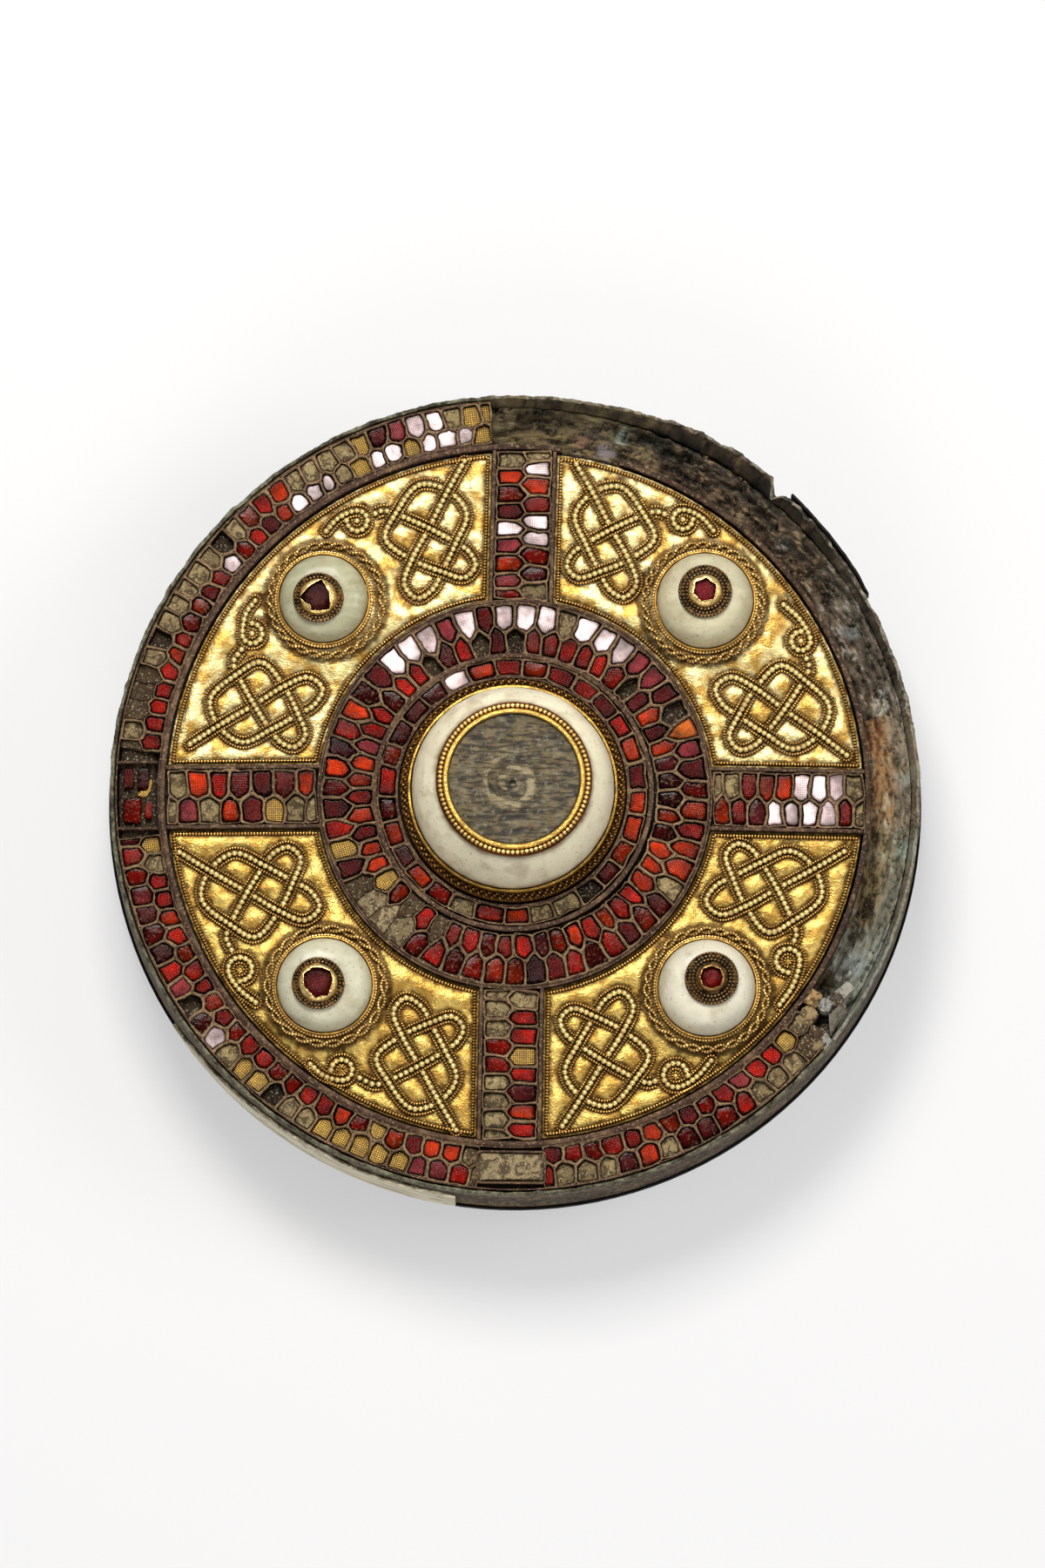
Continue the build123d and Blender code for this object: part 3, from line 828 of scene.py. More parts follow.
@dataclass(frozen=True)
class FoilFinish:
    """Waffled gold foil, bare where its garnet is lost."""

    name: str = "foil"
    pitch: float = 0.3

    def material(self) -> Material:
        """Builds the material."""
        bench = Bench(self.name)
        grid = bench.hatching(self.pitch)
        dirt = bench.cloud(0.6, 4.0).stepped(0.45, 0.7)
        colour = bench.mix(grid.stepped(0.2, 0.8), pigment(120, 78, 30), pigment(236, 196, 98))
        colour = bench.mix(dirt * 0.65, colour, pigment(128, 98, 66))
        return bench.finish(Base_Color=colour, Metallic=0.7 - dirt * 0.5, Roughness=0.36 + dirt * 0.4,
                            Normal=bench.raised(grid, 0.07))


BRIGHT_FINISHES = (
    GarnetFinish(), GoldFinish(), FoilFinish(), WireFinish(),
    WireFinish("gold_beads", pigment(254, 230, 158), pigment(76, 42, 12), -0.08),
    WireFinish("dark_wire", pigment(188, 142, 76), pigment(52, 32, 16)),
    WireFinish("rope_wire", pigment(255, 214, 130), pigment(74, 42, 14), 0.1),
    WireFinish("bronze_wire", pigment(140, 110, 68), pigment(20, 13, 8)),
    GoldFinish("cap_gold", 0.18, 0.3, 0.85, 0.2), GoldFinish("cap_bronze", 0.3, 0.35, 0.6, 0.05),
)


@dataclass(frozen=True)
class Camera:
    """Camera that sees the brooch as the photo does, almost from straight above."""

    target: Solid = (0.722, 0.99, 13.5)
    elevation: float = 81.0
    distance: float = 2000.0
    lens: float = 470.9
    sensor: float = 36.0

    def place(self) -> None:
        """Adds the camera and makes it the scene's own."""
        data = bpy.data.cameras.new("camera")
        data.sensor_fit, data.sensor_height, data.lens = "VERTICAL", self.sensor, self.lens
        data.clip_end = 10.0
        camera = bpy.data.objects.new("camera", data)
        rise = math.radians(self.elevation)
        reach = Vector((0.0, -math.cos(rise), math.sin(rise))) * self.distance
        camera.location = (Vector(self.target) + reach) * MM
        camera.rotation_euler = (-reach).to_track_quat("-Z", "Y").to_euler()
        bpy.context.scene.collection.objects.link(camera)
        bpy.context.scene.camera = camera


@dataclass(frozen=True)
class Softbox:
    """Large square light that points at the brooch."""

    name: str
    place: Solid
    size: float
    power: float
    colour: Colour

    def hang(self) -> None:
        """Adds the light."""
        data = bpy.data.lights.new(self.name, "AREA")
        data.shape, data.size, data.energy, data.color = "SQUARE", self.size * MM, self.power, self.colour
        lamp = bpy.data.objects.new(self.name, data)
        lamp.location = Vector(self.place) * MM
        lamp.rotation_euler = (-Vector(self.place)).to_track_quat("-Z", "Y").to_euler()
        bpy.context.scene.collection.objects.link(lamp)


@dataclass(frozen=True)
class Studio:
    """Pale floor and soft light."""

    softboxes: tuple[Softbox, ...] = (
        Softbox("key", (-50.0, 245.0, 400.0), 170.0, 1.8, (1.0, 0.985, 0.955)),
        Softbox("side", (420.0, 60.0, 330.0), 240.0, 0.8, (1.0, 0.99, 0.975)),
        Softbox("fill", (-60.0, -430.0, 300.0), 300.0, 0.8, (1.0, 0.99, 0.98)),
    )
    sky: float = 0.2
    floor_size: float = 3000.0
    floor_steps: int = 8
    floor_light: float = 0.95

    def build(self) -> None:
        """Adds the floor, the lights and the even light round them."""
        scene = bpy.context.scene
        scene.view_settings.view_transform = "Standard"
        scene.world = bpy.data.worlds.new("even_light")
        scene.world.use_nodes = True
        background = scene.world.node_tree.nodes["Background"]
        background.inputs["Color"].default_value = (1.0, 1.0, 1.0, 1.0)
        background.inputs["Strength"].default_value = self.sky
        for softbox in self.softboxes:
            softbox.hang()
        self.floor()

    def floor(self) -> bpy.types.Object:
        """Builds the floor as a flat sheet."""
        form = Form()
        stops = [self.floor_size * (stop / self.floor_steps - 0.5) for stop in range(self.floor_steps + 1)]
        form.stack([[form.point((x, y, 0.0)) for x in stops] for y in stops], closed=False)
        bench = Bench("floor")
        tone = bench.mix(bench.cloud(90.0, 2.0) * 0.3, pigment(182, 182, 182), pigment(178, 178, 180))
        return form.made("floor", bench.finish(Base_Color=tone, Roughness=0.9, Specular_IOR_Level=0.1,
                                               Emission_Color=tone, Emission_Strength=self.floor_light), 40.0)


@dataclass(frozen=True)
class Gauge:
    """Levels and radii of the CAD frame."""

    plate: float
    bed: float
    face: float
    case: float
    ring: float
    cross: float
    middle: float

    @classmethod
    def read(cls) -> "Gauge":
        """Reads the boxes of the frame's nodes."""
        def limit(name: str, end: int, axis: int) -> float:
            """Lower or upper limit of a node along an axis."""
            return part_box(name)[end][axis] / MM

        return cls(plate=limit("back_plate", 1, 2), bed=limit("outer_cellwork", 0, 2),
                   face=limit("outer_cellwork", 1, 2), case=-limit("side_wall", 0, 0),
                   ring=-limit("outer_cellwork", 0, 0), cross=limit("cross_cellwork", 1, 0),
                   middle=limit("middle_cellwork", 1, 0))


@dataclass(frozen=True)
class Line:
    """Line in space that a wire follows."""

    points: list[Solid]
    closed: bool = False


@dataclass(frozen=True)
class Wire:
    """Beaded wire or bead string: half its width, a bead's length, and how deep its grooves or how uneven."""

    radius: float
    pitch: float
    cut: float
    beads: bool = False


class StrungTree(Tree):
    """Geometry tree that strings something along lines, with inputs for its sizes."""

    def __init__(self, name: str) -> None:
        """Starts the tree with its inputs, and with the lines as a curve.

        Args:
            name: the tree's name.
        """
        super().__init__(bpy.data.node_groups.new(name, "GeometryNodeTree"))
        self.tree.interface.new_socket("Geometry", in_out="INPUT", socket_type="NodeSocketGeometry")
        for size in ("Radius", "Pitch", "Cut"):
            self.tree.interface.new_socket(size, in_out="INPUT", socket_type="NodeSocketFloat")
        self.tree.interface.new_socket("Material", in_out="INPUT", socket_type="NodeSocketMaterial")
        self.tree.interface.new_socket("Geometry", in_out="OUTPUT", socket_type="NodeSocketGeometry")
        self.inputs = self.add("NodeGroupInput").outputs
        self.line = self.value("GeometryNodeMeshToCurve", None, {"Mesh": self.given("Geometry")})

    def given(self, name: str) -> Term:
        """One of the tree's inputs."""
        return Term(self, self.inputs[name])

    def crested(self, geometry: Term, crest: Term) -> Term:
        """Stores how far each point stands on the crest of a bead, which the wire finishes turn into painted
        shade.
        """
        return self.value("GeometryNodeStoreNamedAttribute", {"data_type": "FLOAT", "domain": "POINT"},
                          {"Geometry": geometry, "Name": "crest", "Value": crest})

    def close(self, geometry: Term) -> None:
        """Ends the tree with real geometry, smooth shading and the material.

        Args:
            geometry: what the tree has built.
        """
        real = self.value("GeometryNodeRealizeInstances", None, {"Geometry": geometry})
        even = self.value("GeometryNodeSetShadeSmooth", None, {"Geometry": real})
        dressed = self.value("GeometryNodeSetMaterial", None,
                             {"Geometry": even, "Material": self.given("Material")})
        self.add("NodeGroupOutput", None, {"Geometry": dressed})


class Strung:
    """Geometry Nodes that turn lines into beaded wire or strings of beads."""

    def __init__(self) -> None:
        """Builds both trees, found by whether they string beads."""
        self.trees = {False: self.wire(), True: self.beads()}

    @staticmethod
    def wire() -> StrungTree:
        """Tree for beaded wire: rings of points along each line, every second one in a groove."""
        tree = StrungTree("beaded_wire")
        even = tree.value("GeometryNodeResampleCurve", {"mode": "LENGTH"},
                          {"Curve": tree.line, "Length": tree.given("Pitch") * 0.5})
        odd = tree.value("GeometryNodeSplineParameter", output="Index") % 2.0
        radius = (1.0 - odd * tree.given("Cut")) * tree.given("Radius")
        circle = tree.value("GeometryNodeCurvePrimitiveCircle", None, {"Resolution": 6, "Radius": 1.0})
        tree.close(tree.value("GeometryNodeCurveToMesh", None,
                              {"Curve": tree.crested(even, 1.0 - odd), "Profile Curve": circle,
                               "Scale": radius, "Fill Caps": True}))
        return tree

    @staticmethod
    def beads() -> StrungTree:
        """Tree for strings of beads: a small ball at even steps along each line."""
        tree = StrungTree("bead_string")
        stops = tree.value("GeometryNodeCurveToPoints", {"mode": "LENGTH"},
                           {"Curve": tree.line, "Length": tree.given("Pitch")})
        ball = tree.value("GeometryNodeMeshUVSphere", None,
                          {"Segments": 8, "Rings": 6, "Radius": tree.given("Radius")})
        rise = tree.value("ShaderNodeSeparateXYZ", None, {0: tree.value("GeometryNodeInputPosition")}, "Z")
        size = tree.value("FunctionNodeRandomValue", {"data_type": "FLOAT"},
                          {2: 1.0 - tree.given("Cut"), 3: 1.04, "Seed": 4}, 1)
        # The crest value is the height on the ball, so each bead is painted lighter on top and darker below:
        # painted shade.
        tree.close(tree.value("GeometryNodeInstanceOnPoints", None,
                              {"Points": stops, "Instance": tree.crested(ball, rise / tree.given("Radius")),
                               "Scale": size}))
        return tree

    def made(self, name: str, lines: Sequence[Line], wire: Wire, material: Material) -> bpy.types.Object:
        """Runs a tree over lines and keeps the result as a plain mesh.

        Args:
            name: the piece's name.
            lines: the lines that the wire or the beads follow.
            wire: its sizes.
            material: its finish.

        Returns:
            The finished object.
        """
        points: list[Solid] = []
        edges: list[tuple[int, int]] = []
        for line in lines:
            first = len(points)
            points += [(x * MM, y * MM, z * MM) for x, y, z in line.points]
            edges += [(number, number + 1) for number in range(first, len(points) - 1)]
            if line.closed:
                edges.append((len(points) - 1, first))
        mesh = bpy.data.meshes.new(name + "_lines")
        mesh.from_pydata(points, edges, [])
        guide = bpy.data.objects.new(name + "_lines", mesh)
        bpy.context.scene.collection.objects.link(guide)
        modifier = guide.modifiers.new("strung", "NODES")
        modifier.node_group = self.trees[wire.beads].tree
        values = {"Radius": wire.radius * MM, "Pitch": wire.pitch * MM, "Cut": wire.cut, "Material": material}
        for item in modifier.node_group.interface.items_tree:
            if item.in_out == "INPUT" and item.name in values:
                modifier[item.identifier] = values[item.name]
        result = bpy.data.meshes.new_from_object(guide.evaluated_get(bpy.context.evaluated_depsgraph_get()))
        guide.modifiers.remove(modifier)
        bpy.data.objects.remove(guide)
        return placed(name, result, material)


@dataclass
class Workshop:
    """What the sub-assemblies share: the frame's measures, the finishes, and the trees for wire and beads."""

    gauge: Gauge
    finishes: dict[str, Material]
    strung: Strung

    def fit(self, name: str, form: Form, finish: str, slot: str, replaced: Sequence[str] = (),
            sharp: float = 40.0) -> None:
        """Makes a form into a piece of the brooch, with the CAD nodes that it stands for."""
        fitted(form.made(name, self.finishes[finish], sharp), slot, replaced)

    def string(self, name: str, lines: Sequence[Line], wire: Wire, finish: str) -> None:
        """Makes a gold piece of wire or beads along lines."""
        fitted(self.strung.made(name, lines, wire, self.finishes[finish]), "gold")


@dataclass
class SubAssembly:
    """Part of the brooch that is made in the workshop."""

    shop: Workshop

    @property
    def gauge(self) -> Gauge:
        """Levels and radii of the CAD frame."""
        return self.shop.gauge


class Fill(Enum):
    """What a cell of the cellwork holds."""

    RED = "r"
    ORANGE = "o"
    DARK = "d"
    PLUM = "D"
    # Pale pinkish-white stones: painted glare on polished garnets, with some real weathering.
    PALE = "p"
    DUSKY = "v"
    GLOWING = "G"
    FOIL = "g"
    PASTE = "e"
    BARE_PASTE = "E"
    RUIN = "b"
    HOLE = "x"
    SCRAP = "X"

    @property
    def walled(self) -> bool:
        """Whether the cell's walls still stand."""
        return self not in (Fill.BARE_PASTE, Fill.RUIN)


@dataclass(frozen=True)
class Bedding:
    """What shows in a cell without a stone: its colour, its depth below the face, and how lumpy it is."""

    colour: Colour
    drop: float
    lumps: float


STONES: dict[Fill, Colour] = {
    Fill.RED: pigment(168, 20, 3), Fill.ORANGE: pigment(206, 52, 5), Fill.DARK: pigment(98, 8, 5),
    Fill.PLUM: pigment(58, 10, 18), Fill.PALE: pigment(255, 230, 230), Fill.DUSKY: pigment(150, 52, 56),
    Fill.GLOWING: pigment(255, 130, 40),
}
BEDDINGS: dict[Fill, Bedding] = {
    Fill.PASTE: Bedding(pigment(170, 148, 102), 0.42, 0.24),
    Fill.BARE_PASTE: Bedding(pigment(172, 152, 112), 0.14, 0.18),
    Fill.RUIN: Bedding(pigment(84, 64, 42), 0.4, 0.34),
    # HOLE and SCRAP are near-black grounds deep in their cells, painted shade of the cavity.
    Fill.HOLE: Bedding(pigment(40, 30, 24), 1.05, 0.06), Fill.SCRAP: Bedding(pigment(20, 13, 10), 0.8, 0.15),
    Fill.FOIL: Bedding(pigment(186, 138, 62), 0.5, 0.04),
}


@dataclass
class Cell:
    """One cell: its outline between the middles of its walls, what it holds, and its turn in radians."""

    corners: Sequence[Flat]
    fill: Fill
    turn: float


@dataclass
class Band:
    """Two interlocking rows of cells with pointed ends, on a ring or along an arm.

    The rows share a zigzag wall. Steps are half a cell wide: the zigzag stands at the shoulder level at even
    steps and at the peak level at odd ones. The corners lie a little off this rule, up to the looseness.
    """

    steps: int
    near: float
    shoulder: float
    peak: float
    far: float
    near_row: str
    far_row: str
    place: Callable[[float, float], Flat]
    closed: bool = False
    looseness: float = 0.19
    seed: int = 1

    def cells(self) -> list[Cell]:
        """Works out the outline of every cell.

        Returns:
            The cells, the near row's first.
        """
        rng = random.Random(self.seed)
        moved: dict[tuple[int, str], Flat] = {}

        def corner(step: int, level: str) -> Flat:
            """Corner at a step and a named level, moved a little.

            Args:
                step: the step.
                level: name of the level.

            Returns:
                The corner.
            """
            key = (step % self.steps if self.closed else step, level)
            if key not in moved:
                moved[key] = (rng.uniform(-1, 1) * self.looseness, rng.uniform(-1, 1) * self.looseness)
            along, across = moved[key]
            return self.place(step + along,
                              getattr(self, level) + (0.0 if level in ("near", "far") else across))

        cells = []
        for row, base, first in ((self.near_row, "near", 0), (self.far_row, "far", 1)):
            spans = [(start, start + 2 if self.closed else min(start + 2, self.steps))
                     for start in range(first, self.steps, 2)]
            if first and not self.closed:
                spans.insert(0, (0, 1))
            if len(spans) != len(row):
                raise ValueError(f"{len(row)} letters for {len(spans)} cells")
            for (start, end), letter in zip(spans, row):
                corners = [corner(start, base), corner(end, base)]
                corners += [corner(step, "peak" if step % 2 else "shoulder")
                            for step in range(end, start - 1, -1)]
                (ax, ay), (bx, by) = (self.place(step, getattr(self, base)) for step in (start, end))
                cells.append(Cell(corners, Fill(letter), math.atan2(by - ay, bx - ax)))
        return cells


@dataclass
class Cellwork(SubAssembly):
    """Fields of cells: walls, garnets, paste and foil."""

    wall: float = 0.27
    sink: float = 0.2
    bevel: float = 0.13
    corner_cut: float = 0.2
    hatches: tuple[float, ...] = (0.2, 0.6, 1.0, 1.0)
    seed: int = 7

    def build(self, name: str, cells: Sequence[Cell], walls: Form, walls_for: str,
              stones_for: Sequence[str]) -> None:
        """Builds the walls, stones and other fills of one field.

        Args:
            name: start of the pieces' names.
            cells: the field's cells.
            walls: plain walls that belong to the field, which the cells' walls join.
            walls_for: CAD node that the walls stand for.
            stones_for: CAD nodes that the stones stand for.
        """
        rng = random.Random(self.seed + len(cells))
        stones, pads, foils = Form(), Form(), Form()
        for cell in cells:
            if cell.fill.walled:
                self.cell_wall(walls, cell, rng)
            if cell.fill in STONES:
                self.stone(stones, cell, rng)
            else:
                self.pad(foils if cell.fill is Fill.FOIL else pads, cell, rng)
        self.shop.fit(name + "_walls", walls, "cell_walls", "cell_walls", [walls_for])
        self.shop.fit(name + "_garnets", stones, "garnet", "garnet", stones_for, 25.0)
        self.shop.fit(name + "_paste", pads, "paste", "paste")
        self.shop.fit(name + "_foils", foils, "foil", "gold")

    def top(self, x: float, y: float) -> float:
        """Level of the walls' tops, which rises and falls a little over the face."""
        return self.gauge.face - 0.04 + 0.05 * rough(x, y, 3.0, 2.0)

    def cell_wall(self, form: Form, cell: Cell, rng: random.Random) -> None:
        """Adds a cell's half of the walls round it, as a closed ring.

        Args:
            form: the walls' mesh.
            cell: the cell.
            rng: the field's random draws.
        """
        half = self.wall / 2 * rng.uniform(0.7, 1.35)
        outer = bent(rounded(cell.corners, self.corner_cut))
        inner = bent(rounded(inset(cell.corners, half), 0.22))
        if signed_area(outer) < 0:
            outer = outer[::-1]
        start = min(range(len(inner)), key=lambda number: math.dist(inner[number], outer[0]))
        inner = inner[start:] + inner[:start]
        # The wall's sides and inner slope take the dark edge colour as painted shade beside the stones; the
        # crest takes the light one.
        crest, edge = pigment(166, 134, 96), pigment(50, 33, 21)
        light = rng.uniform(0.55, 1.25)
        low = self.gauge.bed + 0.05
        form.stack([form.loop(outer, low, shaded(edge, 0.4)),
                    form.loop(outer, self.top, shaded(crest, light)),
                    form.loop(inner, lambda x, y: self.top(x, y) - 0.07, shaded(edge, light)),
                    form.loop(inner, low, shaded(edge, 0.3))], round_trip=True)

    def stone(self, form: Form, cell: Cell, rng: random.Random) -> None:
        """Adds one garnet: a thin slab with a worn bevel, a rim of painted shade and a slight tilt.

        Args:
            form: the stones' mesh.
            cell: its cell.
            rng: the field's random draws.
        """
        pale = cell.fill is Fill.PALE
        outline = inset(cell.corners, self.wall / 2 + rng.uniform(0.02, 0.12))
        girdle = bent(rounded(outline, rng.uniform(0.14, 0.42)))
        # Pale stones are painted lighter than any garnet: painted glare on their tops.
        light = rng.uniform(1.35, 1.85) if pale else rng.uniform(0.4, 1.02)
        colour = blended(STONES[cell.fill], pigment(130, 8, 8), rng.uniform(0.0, 0.2))
        x0, y0 = centre_of(girdle)
        lean_x, lean_y = rng.uniform(-0.05, 0.05), rng.uniform(-0.05, 0.05)
        level = self.gauge.face - self.sink + rng.uniform(-0.08, 0.1)
        turn = rng.choice((0.0, math.pi / 4, math.pi / 4, rng.uniform(0, 1.5)))
        surface = own_surface((x0, y0), cell.turn + turn)
        hatch = rng.choice(self.hatches)
        # The rim colour is painted shade on the stone's sides.
        rim = shaded(pigment(150, 70, 76) if pale else colour, 0.6 if pale else 0.16 * light, 0.0)
        fade_x, fade_y = polar(0.42, math.degrees(rng.uniform(0, 2 * math.pi)))

        def height(drop: float) -> Level:
            """Level of the tilted stone, lowered by a drop."""
            return lambda x, y: level - drop + (x - x0) * lean_x + (y - y0) * lean_y

        def glow(strength: float, share: float) -> Shade:
            """Colour that fades across the stone."""
            return lambda x, y: shaded(
                colour, light * share * clamp(1 + (x - x0) * fade_x + (y - y0) * fade_y, 0.4, 1.6), strength)

        # The outer band of the top is darker than the middle: painted shade from the walls.
        loops = [form.loop(girdle, self.gauge.bed + 0.06, rim, surface),
                 form.loop(girdle, height(self.bevel), rim, surface),
                 form.loop(shrunk(girdle, 0.91), height(0.0), glow(hatch * 0.4, 0.75 if pale else 0.38),
                           surface),
                 form.loop(shrunk(girdle, 0.72), height(-0.03), glow(hatch, 1.0), surface)]
        tint = shaded(colour, light * rng.uniform(0.85, 1.2), hatch)
        form.mound(loops, form.point((x0, y0, level + 0.04), tint))

    def pad(self, form: Form, cell: Cell, rng: random.Random) -> None:
        """Adds what lies in a cell without a stone: a lumpy pad, higher or lower by its kind.

        Args:
            form: the pads' mesh.
            cell: its cell.
            rng: the field's random draws.
        """
        bedding = BEDDINGS[cell.fill]
        margin = self.wall / 2 + 0.01 if cell.fill.walled else -0.02
        outline = bent(rounded(inset(cell.corners, margin), self.corner_cut))
        level = self.gauge.face - bedding.drop - rng.uniform(-0.1, 0.12)
        colour = blended(bedding.colour, pigment(84, 66, 42), rng.uniform(0.0, 0.6))
        seed = rng.uniform(0, 50)
        middle = centre_of(outline)
        surface = own_surface(middle, cell.turn + math.pi / 4)

        def height(x: float, y: float) -> float:
            """Level of the pad's lumpy top."""
            return level + bedding.lumps * rough(x, y, 0.9, seed)

        tint = shaded(colour, 1.0)
        # The pad's foot and sides are darker: painted shade where it meets the walls.
        loops = [form.loop(outline, self.gauge.bed + 0.04, shaded(colour, 0.4), surface),
                 form.loop(outline, lambda x, y: height(x, y) - 0.22, shaded(colour, 0.3), surface)]
        loops += [form.loop(shrunk(outline, share), height, tint, surface) for share in (0.86, 0.6, 0.3)]
        form.mound(loops, form.point((*middle, height(*middle)), tint, surface(middle)))


@dataclass(frozen=True)
class Patch:
    """Stain of a colour on the case's metal or filling."""

    angle: float
    radius: float
    size: float
    colour: Colour
    strength: float = 0.75


@dataclass(frozen=True)
class Zone:
    """Stretch of the open channel from an angle on: its hollow, middle and raised colours and lumpiness."""

    start: float
    hollow: Colour
    middle: Colour
    raised: Colour
    lumps: float


# Darker hollow colours and paler raised ones are partly the metal's own colours, partly painted shade and
# painted highlight.
ZONES = (
    Zone(-38.0, pigment(84, 76, 60), pigment(158, 156, 140), pigment(216, 216, 206), 0.5),
    Zone(-20.0, pigment(78, 60, 36), pigment(158, 138, 98), pigment(192, 190, 168), 0.5),
    Zone(-4.0, pigment(120, 76, 42), pigment(178, 136, 90), pigment(198, 190, 162), 0.5),
    Zone(13.0, pigment(46, 36, 28), pigment(112, 96, 78), pigment(200, 192, 176), 0.9),
    Zone(36.0, pigment(24, 18, 13), pigment(78, 59, 42), pigment(188, 156, 114), 1.2),
    Zone(70.0, pigment(58, 47, 30), pigment(122, 104, 70), pigment(172, 152, 110), 0.6),
)
PATCHES = (
    Patch(88.0, 36.4, 1.8, pigment(122, 104, 70)), Patch(75.5, 35.4, 1.2, pigment(142, 134, 138)),
    Patch(79.5, 36.0, 0.9, pigment(142, 106, 84)), Patch(73.9, 37.4, 0.9, pigment(164, 178, 162)),
    Patch(78.0, 37.0, 0.9, pigment(62, 46, 50)), Patch(52.0, 35.4, 1.2, pigment(150, 128, 96)),
    Patch(57.0, 36.0, 0.8, pigment(128, 104, 78)), Patch(44.0, 36.6, 0.8, pigment(150, 146, 134)),
    Patch(27.0, 36.8, 1.0, pigment(142, 144, 142)), Patch(14.5, 36.9, 1.1, pigment(214, 206, 184), 0.9),
    Patch(16.5, 37.6, 0.8, pigment(176, 178, 174)), Patch(3.0, 38.2, 0.9, pigment(172, 178, 162)),
    Patch(-8.0, 38.3, 0.9, pigment(170, 182, 170)), Patch(-26.0, 37.2, 1.4, pigment(184, 190, 192)),
    Patch(-34.0, 37.4, 1.3, pigment(178, 182, 182)), Patch(-30.0, 35.2, 1.3, pigment(104, 84, 50)),
)


